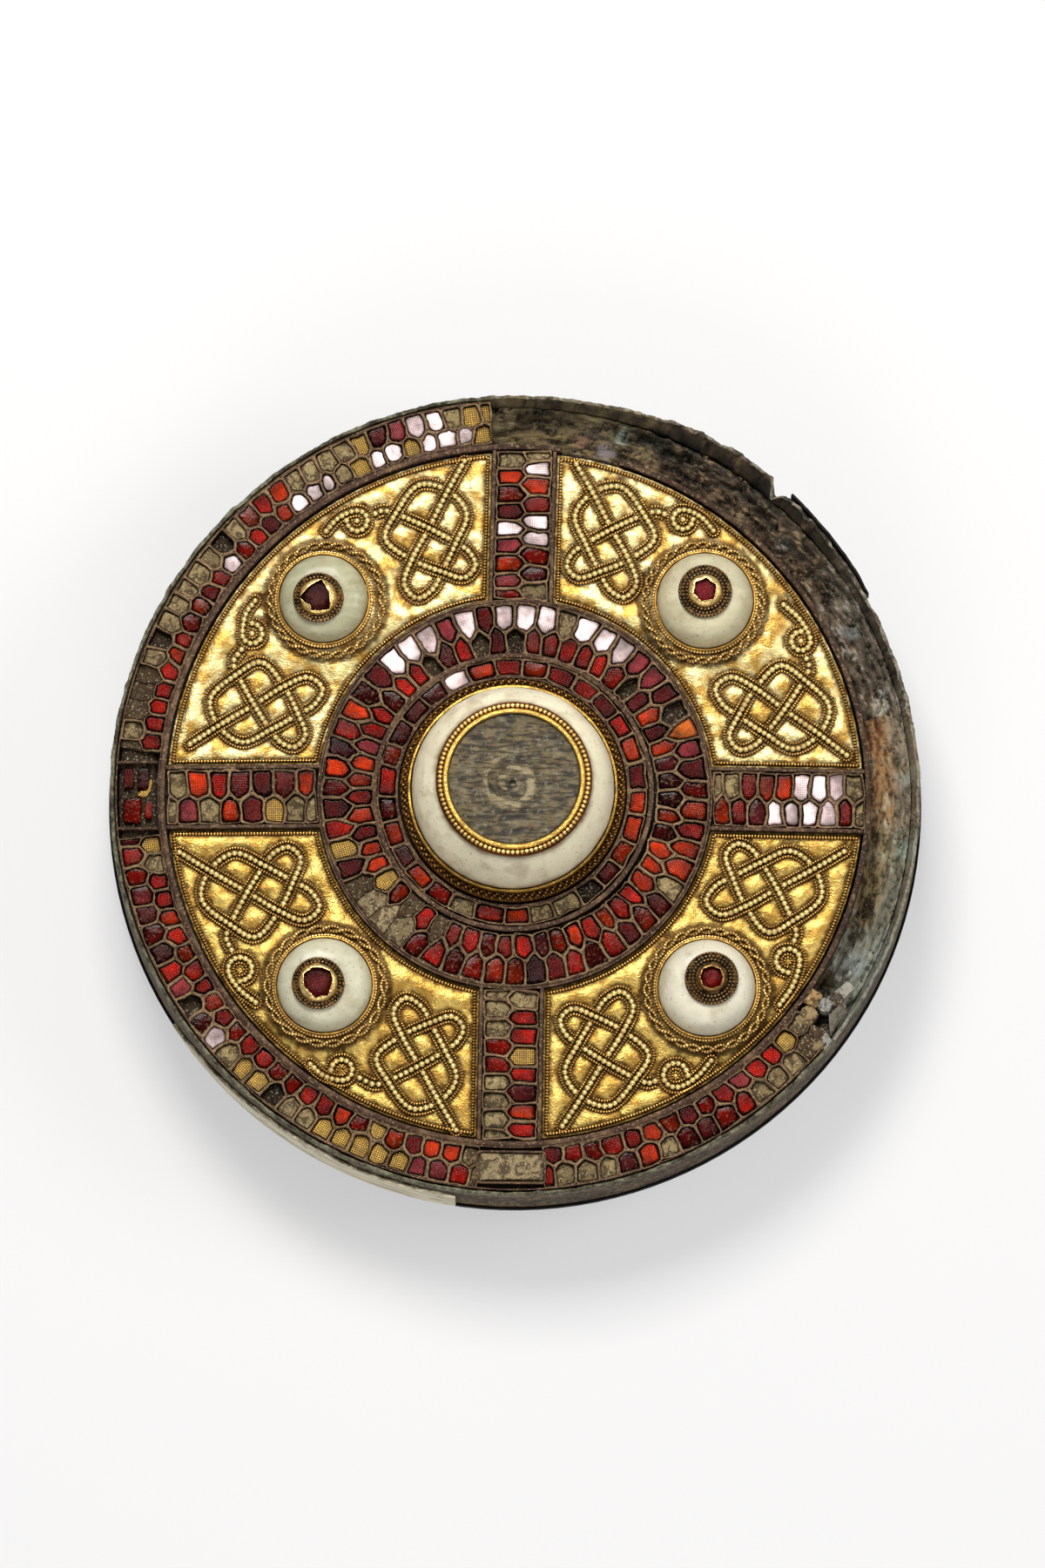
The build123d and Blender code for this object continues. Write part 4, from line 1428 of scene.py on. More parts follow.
@dataclass
class Case(SubAssembly):
    """Side wall, pale strip and the filling with the open channel where the outer ring is lost."""

    channel_depth: float = 2.7
    lost_start: float = -38.0
    lost_end: float = 94.5
    gap_start: float = 72.6
    gap_end: float = 82.4
    wall: float = 0.8
    wall_steps: int = 1200
    swell_start: float = 26.0
    swell_sweep: float = 58.0
    swell_out: float = 0.75
    swell_up: float = 0.45
    notch_angle: float = 49.6
    notch_in: float = 0.95
    notch_down: float = 1.6
    floor_steps: int = 1100
    floor_rows: int = 24
    layer_start: float = 30.0
    layer_end: float = 47.6
    layer_steps: int = 60
    strip_start: float = 213.0
    strip_sweep: float = 48.6
    strip_steps: int = 200

    def lost(self, angle: float, margin: float = 0.0) -> bool:
        """Whether the outer ring is lost at an angle."""
        return self.lost_start + margin < signed(angle) < self.lost_end - margin

    def openness(self, angle: float) -> float:
        """How far the channel is open at an angle: 0 under the ring that is left, 1 where it is lost.

        Args:
            angle: the angle.

        Returns:
            The openness.
        """
        turn = signed(angle)
        opened = smooth(turn, self.lost_start, self.lost_start + 2.5)
        return opened * (1 - smooth(turn, self.lost_end - 1.6, self.lost_end))

    @staticmethod
    def zone(x: float, y: float) -> Zone:
        """Stretch of the channel that a place belongs to.

        Args:
            x: place to the right.
            y: place upwards.

        Returns:
            The stretch.
        """
        drift = 4.0 * rough(x, y, 1.6, 71.0) + 3.0 * rough(x, y, 0.5, 70.0)
        turn = signed(heading(x, y) + drift)
        return next((zone for zone in reversed(ZONES) if turn >= zone.start), ZONES[0])

    def lump(self, x: float, y: float) -> float:
        """Share of a lump at a place of the channel's floor, about -1 to 1, drawn out along the ring.

        Args:
            x: place to the right.
            y: place upwards.

        Returns:
            The share.
        """
        radius, along = math.hypot(x, y), math.radians(heading(x, y)) * self.gauge.ring
        wander = 0.55 * rough(x, y, 2.4, 74.0)
        ridges = 1 - 3.0 * abs(rough(radius * 1.5 + wander, along * 0.26, 0.9, 72.0))
        flakes = rough(radius * 2.6 + wander, along * 0.6, 0.7, 75.0)
        return clamp(0.5 * rough(x, y, 2.3, 5.0) + 0.55 * ridges - 0.15 + 0.4 * flakes, -1.0, 1.0)

    def crack(self, x: float, y: float) -> float:
        """How deep a place of the channel lies in one of its long cracks, 0 to 1; they are painted near-black
        as shade.

        Args:
            x: place to the right.
            y: place upwards.

        Returns:
            The depth.
        """
        radius, along = math.hypot(x, y), math.radians(heading(x, y)) * self.gauge.ring
        line = rough(radius * 1.1 + 0.8 * rough(x, y, 1.5, 77.0), along * 0.17, 0.8, 76.0)
        return clamp(1.5 * self.zone(x, y).lumps) * (1 - smooth(abs(line), 0.02, 0.1))

    def stain(self, x: float, y: float) -> Colour:
        """Colour of the open channel: its stretch's own, darker in hollows and paler on lumps (partly painted
        shade and highlight), with patches and shade painted in the cracks.

        Args:
            x: place to the right.
            y: place upwards.

        Returns:
            The colour.
        """
        zone, lump = self.zone(x, y), self.lump(x, y)
        colour = blended(zone.hollow, zone.middle, smooth(lump, -0.55, 0.1))
        colour = blended(colour, zone.raised, smooth(lump + 0.3 * rough(x, y, 0.5, 73.0), 0.2, 0.85))
        for patch in PATCHES:
            away = math.dist((x, y), polar(patch.radius, patch.angle)) / patch.size
            away += 0.5 * rough(x, y, 0.8, patch.angle)
            colour = blended(colour, patch.colour, patch.strength * (1 - smooth(away, 0.45, 1.0)))
        slope = smooth(math.hypot(x, y), self.gauge.ring - 2.4, self.gauge.ring - 0.9)
        colour = blended(colour, pigment(148, 156, 142), slope * (0.5 if zone.lumps < 0.6 else 0.12))
        # Near-black in the cracks: painted shade.
        return blended(colour, pigment(20, 15, 12), 0.85 * self.crack(x, y))

    def floor_level(self, x: float, y: float) -> float:
        """Works out the level of the filling's top, flat under the face and lumpy in the channel.

        Args:
            x: place to the right.
            y: place upwards.

        Returns:
            The level.
        """
        radius, angle = math.hypot(x, y), heading(x, y)
        bed, cross, ring = self.gauge.bed - 0.02, self.gauge.cross, self.gauge.ring
        if radius < cross - self.wall - 0.05:
            return bed
        open_share = self.openness(angle + ripple(x, y, 1.1, 3.0) * 1.2)
        swept = smooth(angle, self.gap_start - 1, self.gap_start + 2)
        swept *= 1 - smooth(angle, self.gap_end - 2, self.gap_end + 1)
        rise = swept * (1 - smooth(radius, cross - 0.6, ring - 0.6)) * self.channel_depth * 0.95
        shelf = (1 - smooth(radius, cross - 0.1, cross + 0.5)) * 0.3
        lumps = 0.7 * self.zone(x, y).lumps * self.lump(x, y) - 0.5 * self.crack(x, y) if open_share else 0.0
        bank = 1.5 * smooth(radius, ring - 1.5, ring)
        return bed - open_share * (self.channel_depth - rise - shelf - lumps - bank)

    def filling(self) -> Form:
        """Builds the filling as rings of points from the wall to the middle.

        Returns:
            The filling.
        """
        form = Form()
        outer, inner = self.gauge.ring - 0.02, self.gauge.cross - self.wall - 0.1
        edge = outer - 0.12
        radii = [outer, edge]
        radii += [edge - (edge - inner) * part / self.floor_rows for part in range(1, self.floor_rows + 1)]
        radii += [inner * share for share in (0.97, 0.7, 0.4, 0.1)]
        stops = [360 * stop / self.floor_steps for stop in range(self.floor_steps)]
        # Dark filling under the pieces: painted shade in the gaps between them.
        gap_shade = pigment(50, 38, 30)

        def tint(x: float, y: float) -> Tint:
            """Colour of the filling by place: dark where pieces lie on it, painted shade where it shows
            between them.

            Args:
                x: place to the right.
                y: place upwards.

            Returns:
                The tint.
            """
            if math.hypot(x, y) < inner + 0.5:
                return shaded(gap_shade, 1.0)
            return shaded(blended(gap_shade, self.stain(x, y), self.openness(heading(x, y))), 1.0)

        def surface(place: Flat) -> Flat:
            """Place along and across the ring."""
            return math.radians(heading(*place)) * outer, math.hypot(*place)

        loops = [form.loop([polar(outer, angle) for angle in stops], self.gauge.plate + 0.04, tint, surface)]
        loops += [form.loop([polar(radius, angle) for angle in stops], self.floor_level, tint, surface)
                  for radius in radii]
        form.mound(loops, form.point((0, 0, self.floor_level(0, 0)), tint(0, 0)))
        return form

    def lean(self, angle: float) -> Flat:
        """How far the wall's top leans out at an angle, and how much taller it stands there.

        Args:
            angle: the angle.

        Returns:
            Both lengths.
        """
        turn = signed(angle)
        swell = math.sin(math.pi * clamp((turn - self.swell_start) / self.swell_sweep)) ** 2
        out = self.swell_out * swell * (0.35 + 0.65 * smooth(turn, 46.5, 52.0) if turn < 52 else 1.0)
        notch = math.exp(-(turn - self.notch_angle) ** 2)
        torn = 0.35 * rough(turn, 3.0, 4.0, 21.0) * smooth(turn, -36, -30) * (1 - smooth(turn, 90, 95))
        return out - notch * self.notch_in, self.swell_up * swell - notch * self.notch_down + torn

    def side_wall(self) -> Form:
        """Builds the side wall, thin at its top, with its bent and torn stretch.

        Returns:
            The wall.
        """
        form = Form()
        outer, inner = self.gauge.case, self.gauge.case - self.wall
        face, plate = self.gauge.face, self.gauge.plate
        profile = ((outer, plate + 0.02, 0.0), (outer, plate + 2.5, 0.05), (outer, face - 3.2, 0.2),
                   (outer, face - 1.4, 0.7), (outer, face - 0.5, 0.9), (outer - 0.02, face - 0.1, 1.0),
                   (outer - 0.12, face, 1.0), (outer - 0.3, face - 0.03, 1.0),
                   (outer - 0.36, face - 0.25, 0.95), (outer - 0.5, face - 1.0, 0.8),
                   (inner, face - 2.4, 0.4), (inner, face - 3.4, 0.15), (inner, plate + 0.02, 0.0))
        crest, back = (5, 6, 7), 8
        loops: list[list[int]] = [[] for _ in profile]
        for step in range(self.wall_steps):
            angle = 360 * step / self.wall_steps
            out, rise = self.lean(angle)
            lost = self.lost(angle)
            wear = 0.26 * self.zone(*polar(outer, angle)).lumps if lost else 0.14
            for number, (radius, level, share) in enumerate(profile):
                x, y = polar(radius, angle)
                bump = wear * (rough(x + level, y - level, 1.6, 14.0)
                               + 0.5 * rough(x - level, y + level, 0.6, 15.0))
                reach = radius + out * share + bump * (share if number < back else 0.6 * share)
                if not lost and number >= back - 1:
                    high = level > self.gauge.bed
                    reach = max(reach, self.gauge.ring + 0.34) if high else self.gauge.ring + 0.03
                top = level + rise * smooth(share, 0.5, 1.0)
                if number in crest:
                    top += wear * 0.7 * rough(x, y, 0.7, 17.0)
                px, py = polar(reach, angle)
                tint = shaded(pigment(74, 58, 42), 1.0, 0.0)
                if number in (4, *crest, back) and not lost:
                    green = rough(x + level * 2, y, 1.3, 4.0) + 0.9 * rough(x, y - level * 2, 0.35, 6.0)
                    tone = blended(pigment(50, 44, 30), pigment(140, 138, 112), smooth(green, -0.9, 0.9))
                    tint = shaded(tone, 1.0, 0.9)
                elif number in crest:
                    worn = smooth(rough(x, y, 0.8, 4.0), -0.1, 0.5)
                    tint = shaded(blended(self.stain(px, py), pigment(166, 158, 136), worn), 0.85, 0.9)
                elif lost and number >= back:
                    tint = shaded(self.stain(px, py), 0.9, 0.9)
                loops[number].append(form.point((px, py, top), tint))
        form.stack(loops, round_trip=True)
        return form

    def peeled_layer(self) -> Form:
        """Builds the thin black layer that stands off the wall and ends in a pointed corner.

        Returns:
            The layer.
        """
        form = Form()
        start, sweep = self.layer_start, self.layer_end - self.layer_start
        outer, inner = [], []
        for step in range(self.layer_steps + 1):
            share = step / self.layer_steps
            angle = start + sweep * share
            reach = self.gauge.case + 0.42 + 0.25 * share + 0.05 * rough(angle, 1.0, 2.0, 3.0)
            outer.append(polar(reach, angle))
            inner.append(polar(reach - 0.22, angle))

        def top(x: float, y: float) -> float:
            """Level of the layer's ragged top edge."""
            drop = 1.3 * (1 - smooth(heading(x, y), start, start + 3.5))
            return self.gauge.face + 0.35 - drop + 0.22 * rough(x, y, 0.8, 2.0)

        low, dark = self.gauge.face - 3.4, shaded(pigment(30, 24, 20), 1.0)
        rows = ((outer, low), (outer, top), (inner, top), (inner, low))
        form.bar([form.loop(line, level, dark) for line, level in rows])
        return form

    def side_strip(self) -> Form:
        """Builds the pale strip with its worn upper edge, which rises towards its blunt end.

        Returns:
            The strip.
        """
        form = Form()
        inside, low = self.gauge.case + 0.07, self.gauge.plate + 0.05
        places = [self.strip_start + self.strip_sweep * step / self.strip_steps
                  for step in range(self.strip_steps + 1)]

        def top(drop: float) -> Level:
            """Level of the strip's upper edge, lowered by a drop.

            Args:
                drop: the drop.

            Returns:
                The level by place.
            """
            def level(x: float, y: float) -> float:
                """Level by place."""
                share = (heading(x, y) % 360 - self.strip_start) / self.strip_sweep
                rise = 1.2 + 2.6 * smooth(share, 0.0, 0.14) + 2.4 * smooth(share, 0.1, 0.5)
                return self.gauge.plate + rise + 0.3 * rough(x, y, 1.3, 1.0) - drop
            return level

        rows = ((0.0, low), (0.3, low), (0.3, top(0.1)), (0.15, top(0.0)), (0.0, top(0.05)))
        form.bar([form.loop([polar(inside + out, angle) for angle in places], level) for out, level in rows])
        return form

    def build(self) -> None:
        """Builds and dresses the case."""
        self.shop.fit("case_wall", self.side_wall(), "corroded_bronze", "corroded_bronze", ["side_wall"],
                      50.0)
        self.shop.fit("case_wall_peeled_layer", self.peeled_layer(), "corroded_bronze", "corroded_bronze")
        self.shop.fit("case_side_strip", self.side_strip(), "pale_strip", "pale_strip", ["side_strip"])
        self.shop.fit("case_filling", self.filling(), "channel", "paste", ["filling"], 0.0)


@dataclass(frozen=True)
class Span:
    """Kept stretch of the outer ring: its angles, its half cells, what its rows hold, and its seed."""

    start: float
    end: float
    steps: int
    near_row: str
    far_row: str
    seed: int


@dataclass(frozen=True)
class Arm:
    """Arm of the cross: its angle, its half cells, what its rows hold, and which row is the near one."""

    angle: float
    steps: int
    near_row: str
    far_row: str
    side: int = 1


@dataclass(frozen=True)
class Lump:
    """Lump of paste or corroded metal at the torn end of the ring."""

    middle: Flat
    size: float
    drop: float
    colour: Colour


@dataclass(frozen=True)
class Flake:
    """Crumpled flake of metal at the torn end, with its corners, drop below the face and slope."""

    corners: tuple[Flat, ...]
    drop: float
    slope: Flat
    colour: Colour


SPANS = (
    Span(93.6, 173.1, 56, "gpppgppgepppodrrprdorrorrrrr", "ggeppvdgeeeeoroexeeeeexebbbeb", 11),
    Span(186.5, 264.5, 52, "gerrororrorrrrrrrrorgodooe", "drrvdrdrvxdpeggxeegggggvvre", 12),
    Span(274.3, 322.2, 30, "drrrroodrrvrrge", "reeevoeddrreeebb", 13),
)
ARMS = (
    Arm(-1.2, 17, "orvppppre", "eeroopppe"), Arm(88.4, 17, "evrpprope", "rvovpdooe"),
    Arm(180.5, 14, "odddroe", "eegdoeve"), Arm(269.0, 16, "errgrvor", "eeerreeee", -1),
)
MIDDLE_ROW = "pppepppvvdxGvdrorooedodrdrdDoordrrEEEbdgrddoDroddpppvpd"
SECOND_ROW = "xrrrrrrxdodovDDodooorroroovrrrrrbrbogoodoroovrrdrrxdrxd"
INNERMOST_ROW = "rodrdrodooodXeeorerododroddvpo"
LUMPS = (
    Lump((28.55, -21.75), 0.9, 0.15, pigment(168, 142, 98)),
    Lump((28.95, -20.0), 0.88, 0.15, pigment(184, 146, 92)),
    Lump((30.15, -20.75), 0.7, 0.4, pigment(158, 158, 154)),
    Lump((31.25, -20.15), 0.75, 0.9, pigment(92, 82, 72)),
    # This deep dark lump stands for the cavity at the torn end: painted shade.
    Lump((30.2, -22.9), 0.6, 1.6, pigment(60, 50, 40)),
    Lump((29.55, -24.6), 0.75, 0.3, pigment(150, 130, 92)),
)
FLAKES = (
    Flake(((30.2, -20.0), (32.4, -18.2), (33.0, -19.0), (31.0, -21.4)), 1.1, (0.25, 0.1),
          pigment(170, 166, 152)),
    Flake(((30.6, -21.6), (32.2, -20.3), (32.4, -21.2), (30.6, -23.8)), 0.9, (-0.3, 0.15),
          pigment(122, 114, 100)),
    Flake(((29.2, -23.2), (30.0, -23.0), (30.9, -24.6), (30.1, -25.2)), 0.4, (0.2, -0.2),
          pigment(158, 156, 146)),
    Flake(((31.5, -22.6), (32.3, -21.6), (32.6, -22.4), (31.2, -24.2)), 0.5, (0.3, 0.0),
          pigment(84, 76, 66)),
)


@dataclass
class Rings(SubAssembly):
    """Garnet cellwork of the outer ring, the cross and the rings round the middle."""

    case: Case
    arm_half: float = 3.12
    strip: float = 0.36
    block_half: float = 3.3
    block_angle: float = 269.4
    left_block_angle: float = 180.2
    left_block_sides: Flat = (-3.3, 3.25)
    inner_strip_span: Flat = (94.3, 321.8)
    outer_strip_span: Flat = (94.6, 321.0)
    bare_rim_sweep: float = 110.6
    outer_shoulder: float = 1.6
    outer_peak: float = 2.15
    arm_levels: tuple[float, ...] = (-2.67, -0.4, 0.4, 2.67)
    rim: float = 0.5
    middle_steps: int = 110
    middle_start: float = 96.27
    middle_levels: Solid = (16.75, 15.75, 13.82)
    innermost_start: float = 97.3
    innermost_pitch: float = 12.0
    innermost_radii: Flat = (11.42, 13.22)
    innermost_shift: Flat = (-0.25, 0.27)
    innermost_strip: Flat = (11.3, 0.26)
    second_strip: Flat = (13.5, 0.46)
    second_shift: Flat = (-0.2, 0.22)

    def strip_tint(self, x: float, y: float) -> Tint:
        """Colour of the plain strips: dark purple-brown, worn pale in places."""
        tone = blended(pigment(70, 46, 34), pigment(124, 96, 70), smooth(rough(x, y, 1.3, 31.0), -0.2, 0.7))
        return shaded(tone, 1.0 + 0.25 * rough(x, y, 0.6, 32.0))

    def bare_tint(self, x: float, y: float) -> Tint:
        """Colour of the wall round the cross, darkened as painted shade where it stands bare above the open
        channel.
        """
        return shaded(self.strip_tint(x, y)[:3], 0.55 if self.case.lost(heading(x, y)) else 1.0)

    def top(self, x: float, y: float) -> float:
        """Level of the plain strips' tops."""
        return self.gauge.face - 0.02 + 0.06 * rough(x, y, 2.0, 33.0)

    def strip_along(self, walls: Form, path: Sequence[Flat], width: float, closed: bool = False) -> None:
        """Adds a plain strip on the bed along a path."""
        rail(walls, path, width, self.gauge.bed + 0.03, self.top, self.strip_tint, closed)

    def outer(self) -> None:
        """Builds what is left of the outer ring."""
        near, far = self.gauge.cross + 0.1, self.gauge.ring + 0.26
        cells: list[Cell] = []
        for span in SPANS:
            pitch = (span.end - span.start) / span.steps
            cells += Band(span.steps, near, near + self.outer_shoulder, near + self.outer_peak, far,
                          span.near_row, span.far_row,
                          lambda step, level: polar(level, span.start + step * pitch), seed=span.seed).cells()
        walls = Form()
        spans = ((near - 0.06, *self.inner_strip_span), (far + 0.02, *self.outer_strip_span))
        for radius, start, end in spans:
            self.strip_along(walls, arc(radius, start, end - start), 0.14)
        block = self.block_corners(self.block_angle, self.block_half, 0.0)
        self.strip_along(walls, rounded(block, 0.3), 0.22, True)
        for across in self.left_block_sides:
            path = [turned((near + (far - near) * part / 10, across), self.left_block_angle)
                    for part in range(11)]
            self.strip_along(walls, path, 0.26)
        Cellwork(self.shop).build("outer_ring", cells, walls, "outer_cellwork", ["outer_garnets"])
        self.blocks()
        self.torn_lumps()
        self.torn_flakes()

    def torn_lumps(self) -> None:
        """Builds the lumps of paste and corroded metal where the ring is torn off."""
        form = Form()
        for number, lump in enumerate(LUMPS):
            def outline(share: float) -> list[Flat]:
                """Uneven, nearly square outline of the lump.

                Args:
                    share: its size against the lump's.

                Returns:
                    The outline.
                """
                places = []
                for angle in range(0, 360, 15):
                    px, py = polar(1.0, angle)
                    uneven = 1 + 0.18 * ripple(px, py, 0.6, number)
                    reach = lump.size * share / (px ** 4 + py ** 4) ** 0.25 * uneven
                    px, py = polar(reach, angle - 38 + 9 * number)
                    places.append((lump.middle[0] + px, lump.middle[1] + py))
                return places

            def level(drop: float) -> Level:
                """Level of the lump's rough top, lowered by a drop."""
                return lambda x, y: self.gauge.face - lump.drop - drop + 0.3 * rough(x, y, 0.8, number)

            # Each lump's foot and sides are darker than its top: painted shade.
            tint = shaded(lump.colour, 1.0)
            loops = [form.loop(outline(1.0), self.gauge.bed - 3.2, shaded(lump.colour, 0.3)),
                     form.loop(outline(1.0), level(0.6), shaded(lump.colour, 0.45))]
            loops += [form.loop(outline(share), level(drop), tint)
                      for share, drop in ((0.92, 0.16), (0.78, 0.03), (0.4, 0.0))]
            form.mound(loops, form.point((*lump.middle, level(0.0)(*lump.middle)), tint))
        self.shop.fit("outer_ring_torn_end", form, "paste", "paste")

    def torn_flakes(self) -> None:
        """Builds the crumpled flakes of metal where the ring is torn off."""
        form = Form()
        for flake in FLAKES:
            x0, y0 = centre_of(flake.corners)
            crooked = bent(rounded(flake.corners, 0.1))

            def plane(lift: float) -> Level:
                """Level of the bent flake, lifted a little."""
                return lambda x, y: (self.gauge.face - flake.drop + lift + (x - x0) * flake.slope[0]
                                     + (y - y0) * flake.slope[1] + 0.2 * rough(x, y, 0.6, 91.0))

            # The flake's edge row is darker than its top: painted shade.
            rows = ((crooked, -0.14, 0.5), (crooked, 0.0, 1.0), (shrunk(crooked, 0.5), 0.04, 0.9))
            loops = [form.loop(outline, plane(lift), shaded(flake.colour, light))
                     for outline, lift, light in rows]
            form.mound(loops, form.point((x0, y0, plane(0.05)(x0, y0)), shaded(flake.colour, 1.0)))
        self.shop.fit("outer_ring_torn_flakes", form, "corroded_bronze", "corroded_bronze")

    def block_corners(self, middle: float, half: float, margin: float) -> list[Flat]:
        """Outline of the block in the outer ring at the end of an arm."""
        near, far, side = self.gauge.cross + 0.45 + margin, self.gauge.ring - 0.4 - margin, half - margin
        return [turned(corner, middle) for corner in ((near, -side), (far, -side), (far, side), (near, side))]

    def blocks(self) -> None:
        """Builds the garnets and gold scrap of the left block and the paste of the bottom one."""
        stones, scraps, pads = Form(), Form(), Form()
        work = Cellwork(self.shop)
        rng = random.Random(5)
        x0, x1 = -self.gauge.ring + 0.2, -self.gauge.cross - 0.5
        for corners, fill in (
            (((x0, -3.1), (x0, -0.2), (-36.3, -0.1), (-36.2, -3.1)), Fill.RED),
            (((-36.2, -2.7), (-36.2, -0.5), (x1 + 0.2, -0.4), (x1 + 0.1, -2.6)), Fill.RED),
            (((x0, 0.2), (x0, 2.6), (-36.9, 2.8), (-36.9, 0.3)), Fill.DARK),
            (((-37.1, 0.2), (-37.0, 2.9), (-35.3, 2.8), (-35.5, 0.2)), Fill.PLUM),
        ):
            work.stone(stones, Cell(corners, fill, 0.3), rng)
        scrap = [(x1 + 0.1, 2.1), (x1 - 0.1, 0.4), (x1 - 0.6, -0.5), (x1 - 1.9, -0.4), (x1 - 1.3, 0.8)]
        work.pad(scraps, Cell(scrap, Fill.FOIL, 0.8), rng)
        work.pad(pads, Cell(self.block_corners(180.0, 4.5, -0.3), Fill.SCRAP, 0.0), rng)
        slab = self.block_corners(self.block_angle, self.block_half, 0.18)
        work.pad(pads, Cell(slab, Fill.BARE_PASTE, 0.0), rng)
        self.shop.fit("left_block_garnets", stones, "garnet", "garnet", ["block_garnet"], 25.0)
        self.shop.fit("left_block_gold_scrap", scraps, "foil", "gold")
        self.shop.fit("bottom_block_paste", pads, "paste", "paste", ["block_paste"])

    def cross(self) -> None:
        """Builds the four arms and the plain strips of the cross."""
        start, end = self.gauge.middle + 0.35, self.gauge.cross - 0.75
        cells: list[Cell] = []
        walls = Form()
        for number, arm in enumerate(ARMS):
            pitch = (end - start) / arm.steps
            levels = (level * arm.side for level in self.arm_levels)
            cells += Band(arm.steps, *levels, arm.near_row, arm.far_row,
                          lambda step, level: turned((start + step * pitch, level), arm.angle),
                          seed=20 + number).cells()
            for side in (-1, 1):
                across = side * (self.arm_half - self.strip / 2)
                path = [turned((start - 0.3 + (end + 0.3 - start) * part / 40, across), arm.angle)
                        for part in range(41)]
                self.strip_along(walls, path, self.strip)
        self.cross_rim(walls)
        self.strip_along(walls, arc(self.gauge.middle + 0.22, 0, 360), 0.2, True)
        Cellwork(self.shop).build("cross", cells, walls, "cross_cellwork", ["arm_garnets"])

    def cross_rim(self, walls: Form) -> None:
        """Adds the wall round the cross, torn away for a stretch and bare where the outer ring is lost.

        Args:
            walls: the walls' mesh.
        """
        def low(x: float, y: float) -> float:
            """Level of the wall's foot, in the filling."""
            return min(self.case.floor_level(x, y) - 0.3, self.gauge.bed + 0.03)

        def top(x: float, y: float) -> float:
            """Level of the wall's top, ragged where the ring is lost."""
            worn = 0.35 if self.case.lost(heading(x, y), 1.0) else 0.0
            return self.top(x, y) - worn * abs(rough(x, y, 1.1, 37.0))

        lost = self.case.lost_start
        spans = ((self.case.gap_end, lost - self.case.gap_end + 360), (lost, self.bare_rim_sweep))
        for start, sweep in spans:
            rail(walls, arc(self.gauge.cross - 0.3, start, sweep), self.rim, low, top, self.bare_tint)

    def inner(self) -> None:
        """Builds the two rings round the middle."""
        near, steps = self.gauge.middle - 0.02, self.middle_steps
        cells = Band(steps, near, *self.middle_levels, MIDDLE_ROW, SECOND_ROW,
                     lambda step, level: polar(level, self.middle_start - step * 360 / steps),
                     closed=True, seed=31).cells()
        rng = random.Random(32)
        edges = [step + rng.uniform(-0.08, 0.08) for step in range(len(INNERMOST_ROW))]
        edges.append(edges[0] + len(INNERMOST_ROW))
        for number, letter in enumerate(INNERMOST_ROW):
            first, last = (self.innermost_start - edge * self.innermost_pitch
                           for edge in edges[number:number + 2])
            low, high = self.innermost_radii
            corners = [(x + self.innermost_shift[0], y + self.innermost_shift[1]) for x, y in
                       (polar(low, first), polar(low, last), polar(high, last), polar(high, first))]
            turn = self.innermost_start - 90 - self.innermost_pitch * number
            cells.append(Cell(corners, Fill(letter), math.radians(turn)))
        walls = Form()
        for radius, width, middle in ((near + 0.02, 0.16, (0.0, 0.0)),
                                      (*self.second_strip, self.second_shift),
                                      (*self.innermost_strip, self.innermost_shift)):
            self.strip_along(walls, arc(radius, 0, 360, middle=middle), width, True)
        Cellwork(self.shop).build("middle_rings", cells, walls, "middle_cellwork",
                                  ["middle_garnets", "inner_garnets"])

    def build(self) -> None:
        """Builds and dresses all the cellwork."""
        self.outer()
        self.cross()
        self.inner()


def flowing(points: Sequence[Flat], step: float = 0.12) -> tuple[list[Flat], list[int]]:
    """Draws a smooth line through points, which bends evenly even where they lie unevenly.

    Args:
        points: the points it passes.
        step: length of a part.

    Returns:
        The line's points, and the number in it of each given point.
    """
    first = (2 * points[0][0] - points[1][0], 2 * points[0][1] - points[1][1])
    last = (2 * points[-1][0] - points[-2][0], 2 * points[-1][1] - points[-2][1])
    guide = [Vector(point) for point in (first, *points, last)]
    line: list[Flat] = []
    stops: list[int] = []
    for a, b, c, d in zip(guide, guide[1:], guide[2:], guide[3:]):
        t1 = math.sqrt((b - a).length)
        t2 = t1 + math.sqrt((c - b).length)
        t3 = t2 + math.sqrt((d - c).length)
        count = max(2, round((c - b).length / step))
        stops.append(len(line))
        for part in range(count):
            t = t1 + (t2 - t1) * part / count
            bc = b.lerp(c, (t - t1) / (t2 - t1))
            near = a.lerp(b, t / t1).lerp(bc, t / t2)
            far = bc.lerp(c.lerp(d, (t - t2) / (t3 - t2)), (t - t1) / (t3 - t1))
            line.append(tuple(near.lerp(far, (t - t1) / (t2 - t1))))
    stops.append(len(line))
    line.append(tuple(points[-1]))
    return line, stops


@dataclass(frozen=True)
class Lay:
    """How one interlace lies: size, turn and shift against the others, and its curl."""

    scale: float
    turn: float
    shift: Flat
    curl_loop: Flat
    curl_radius: float
    curl_tip: Flat


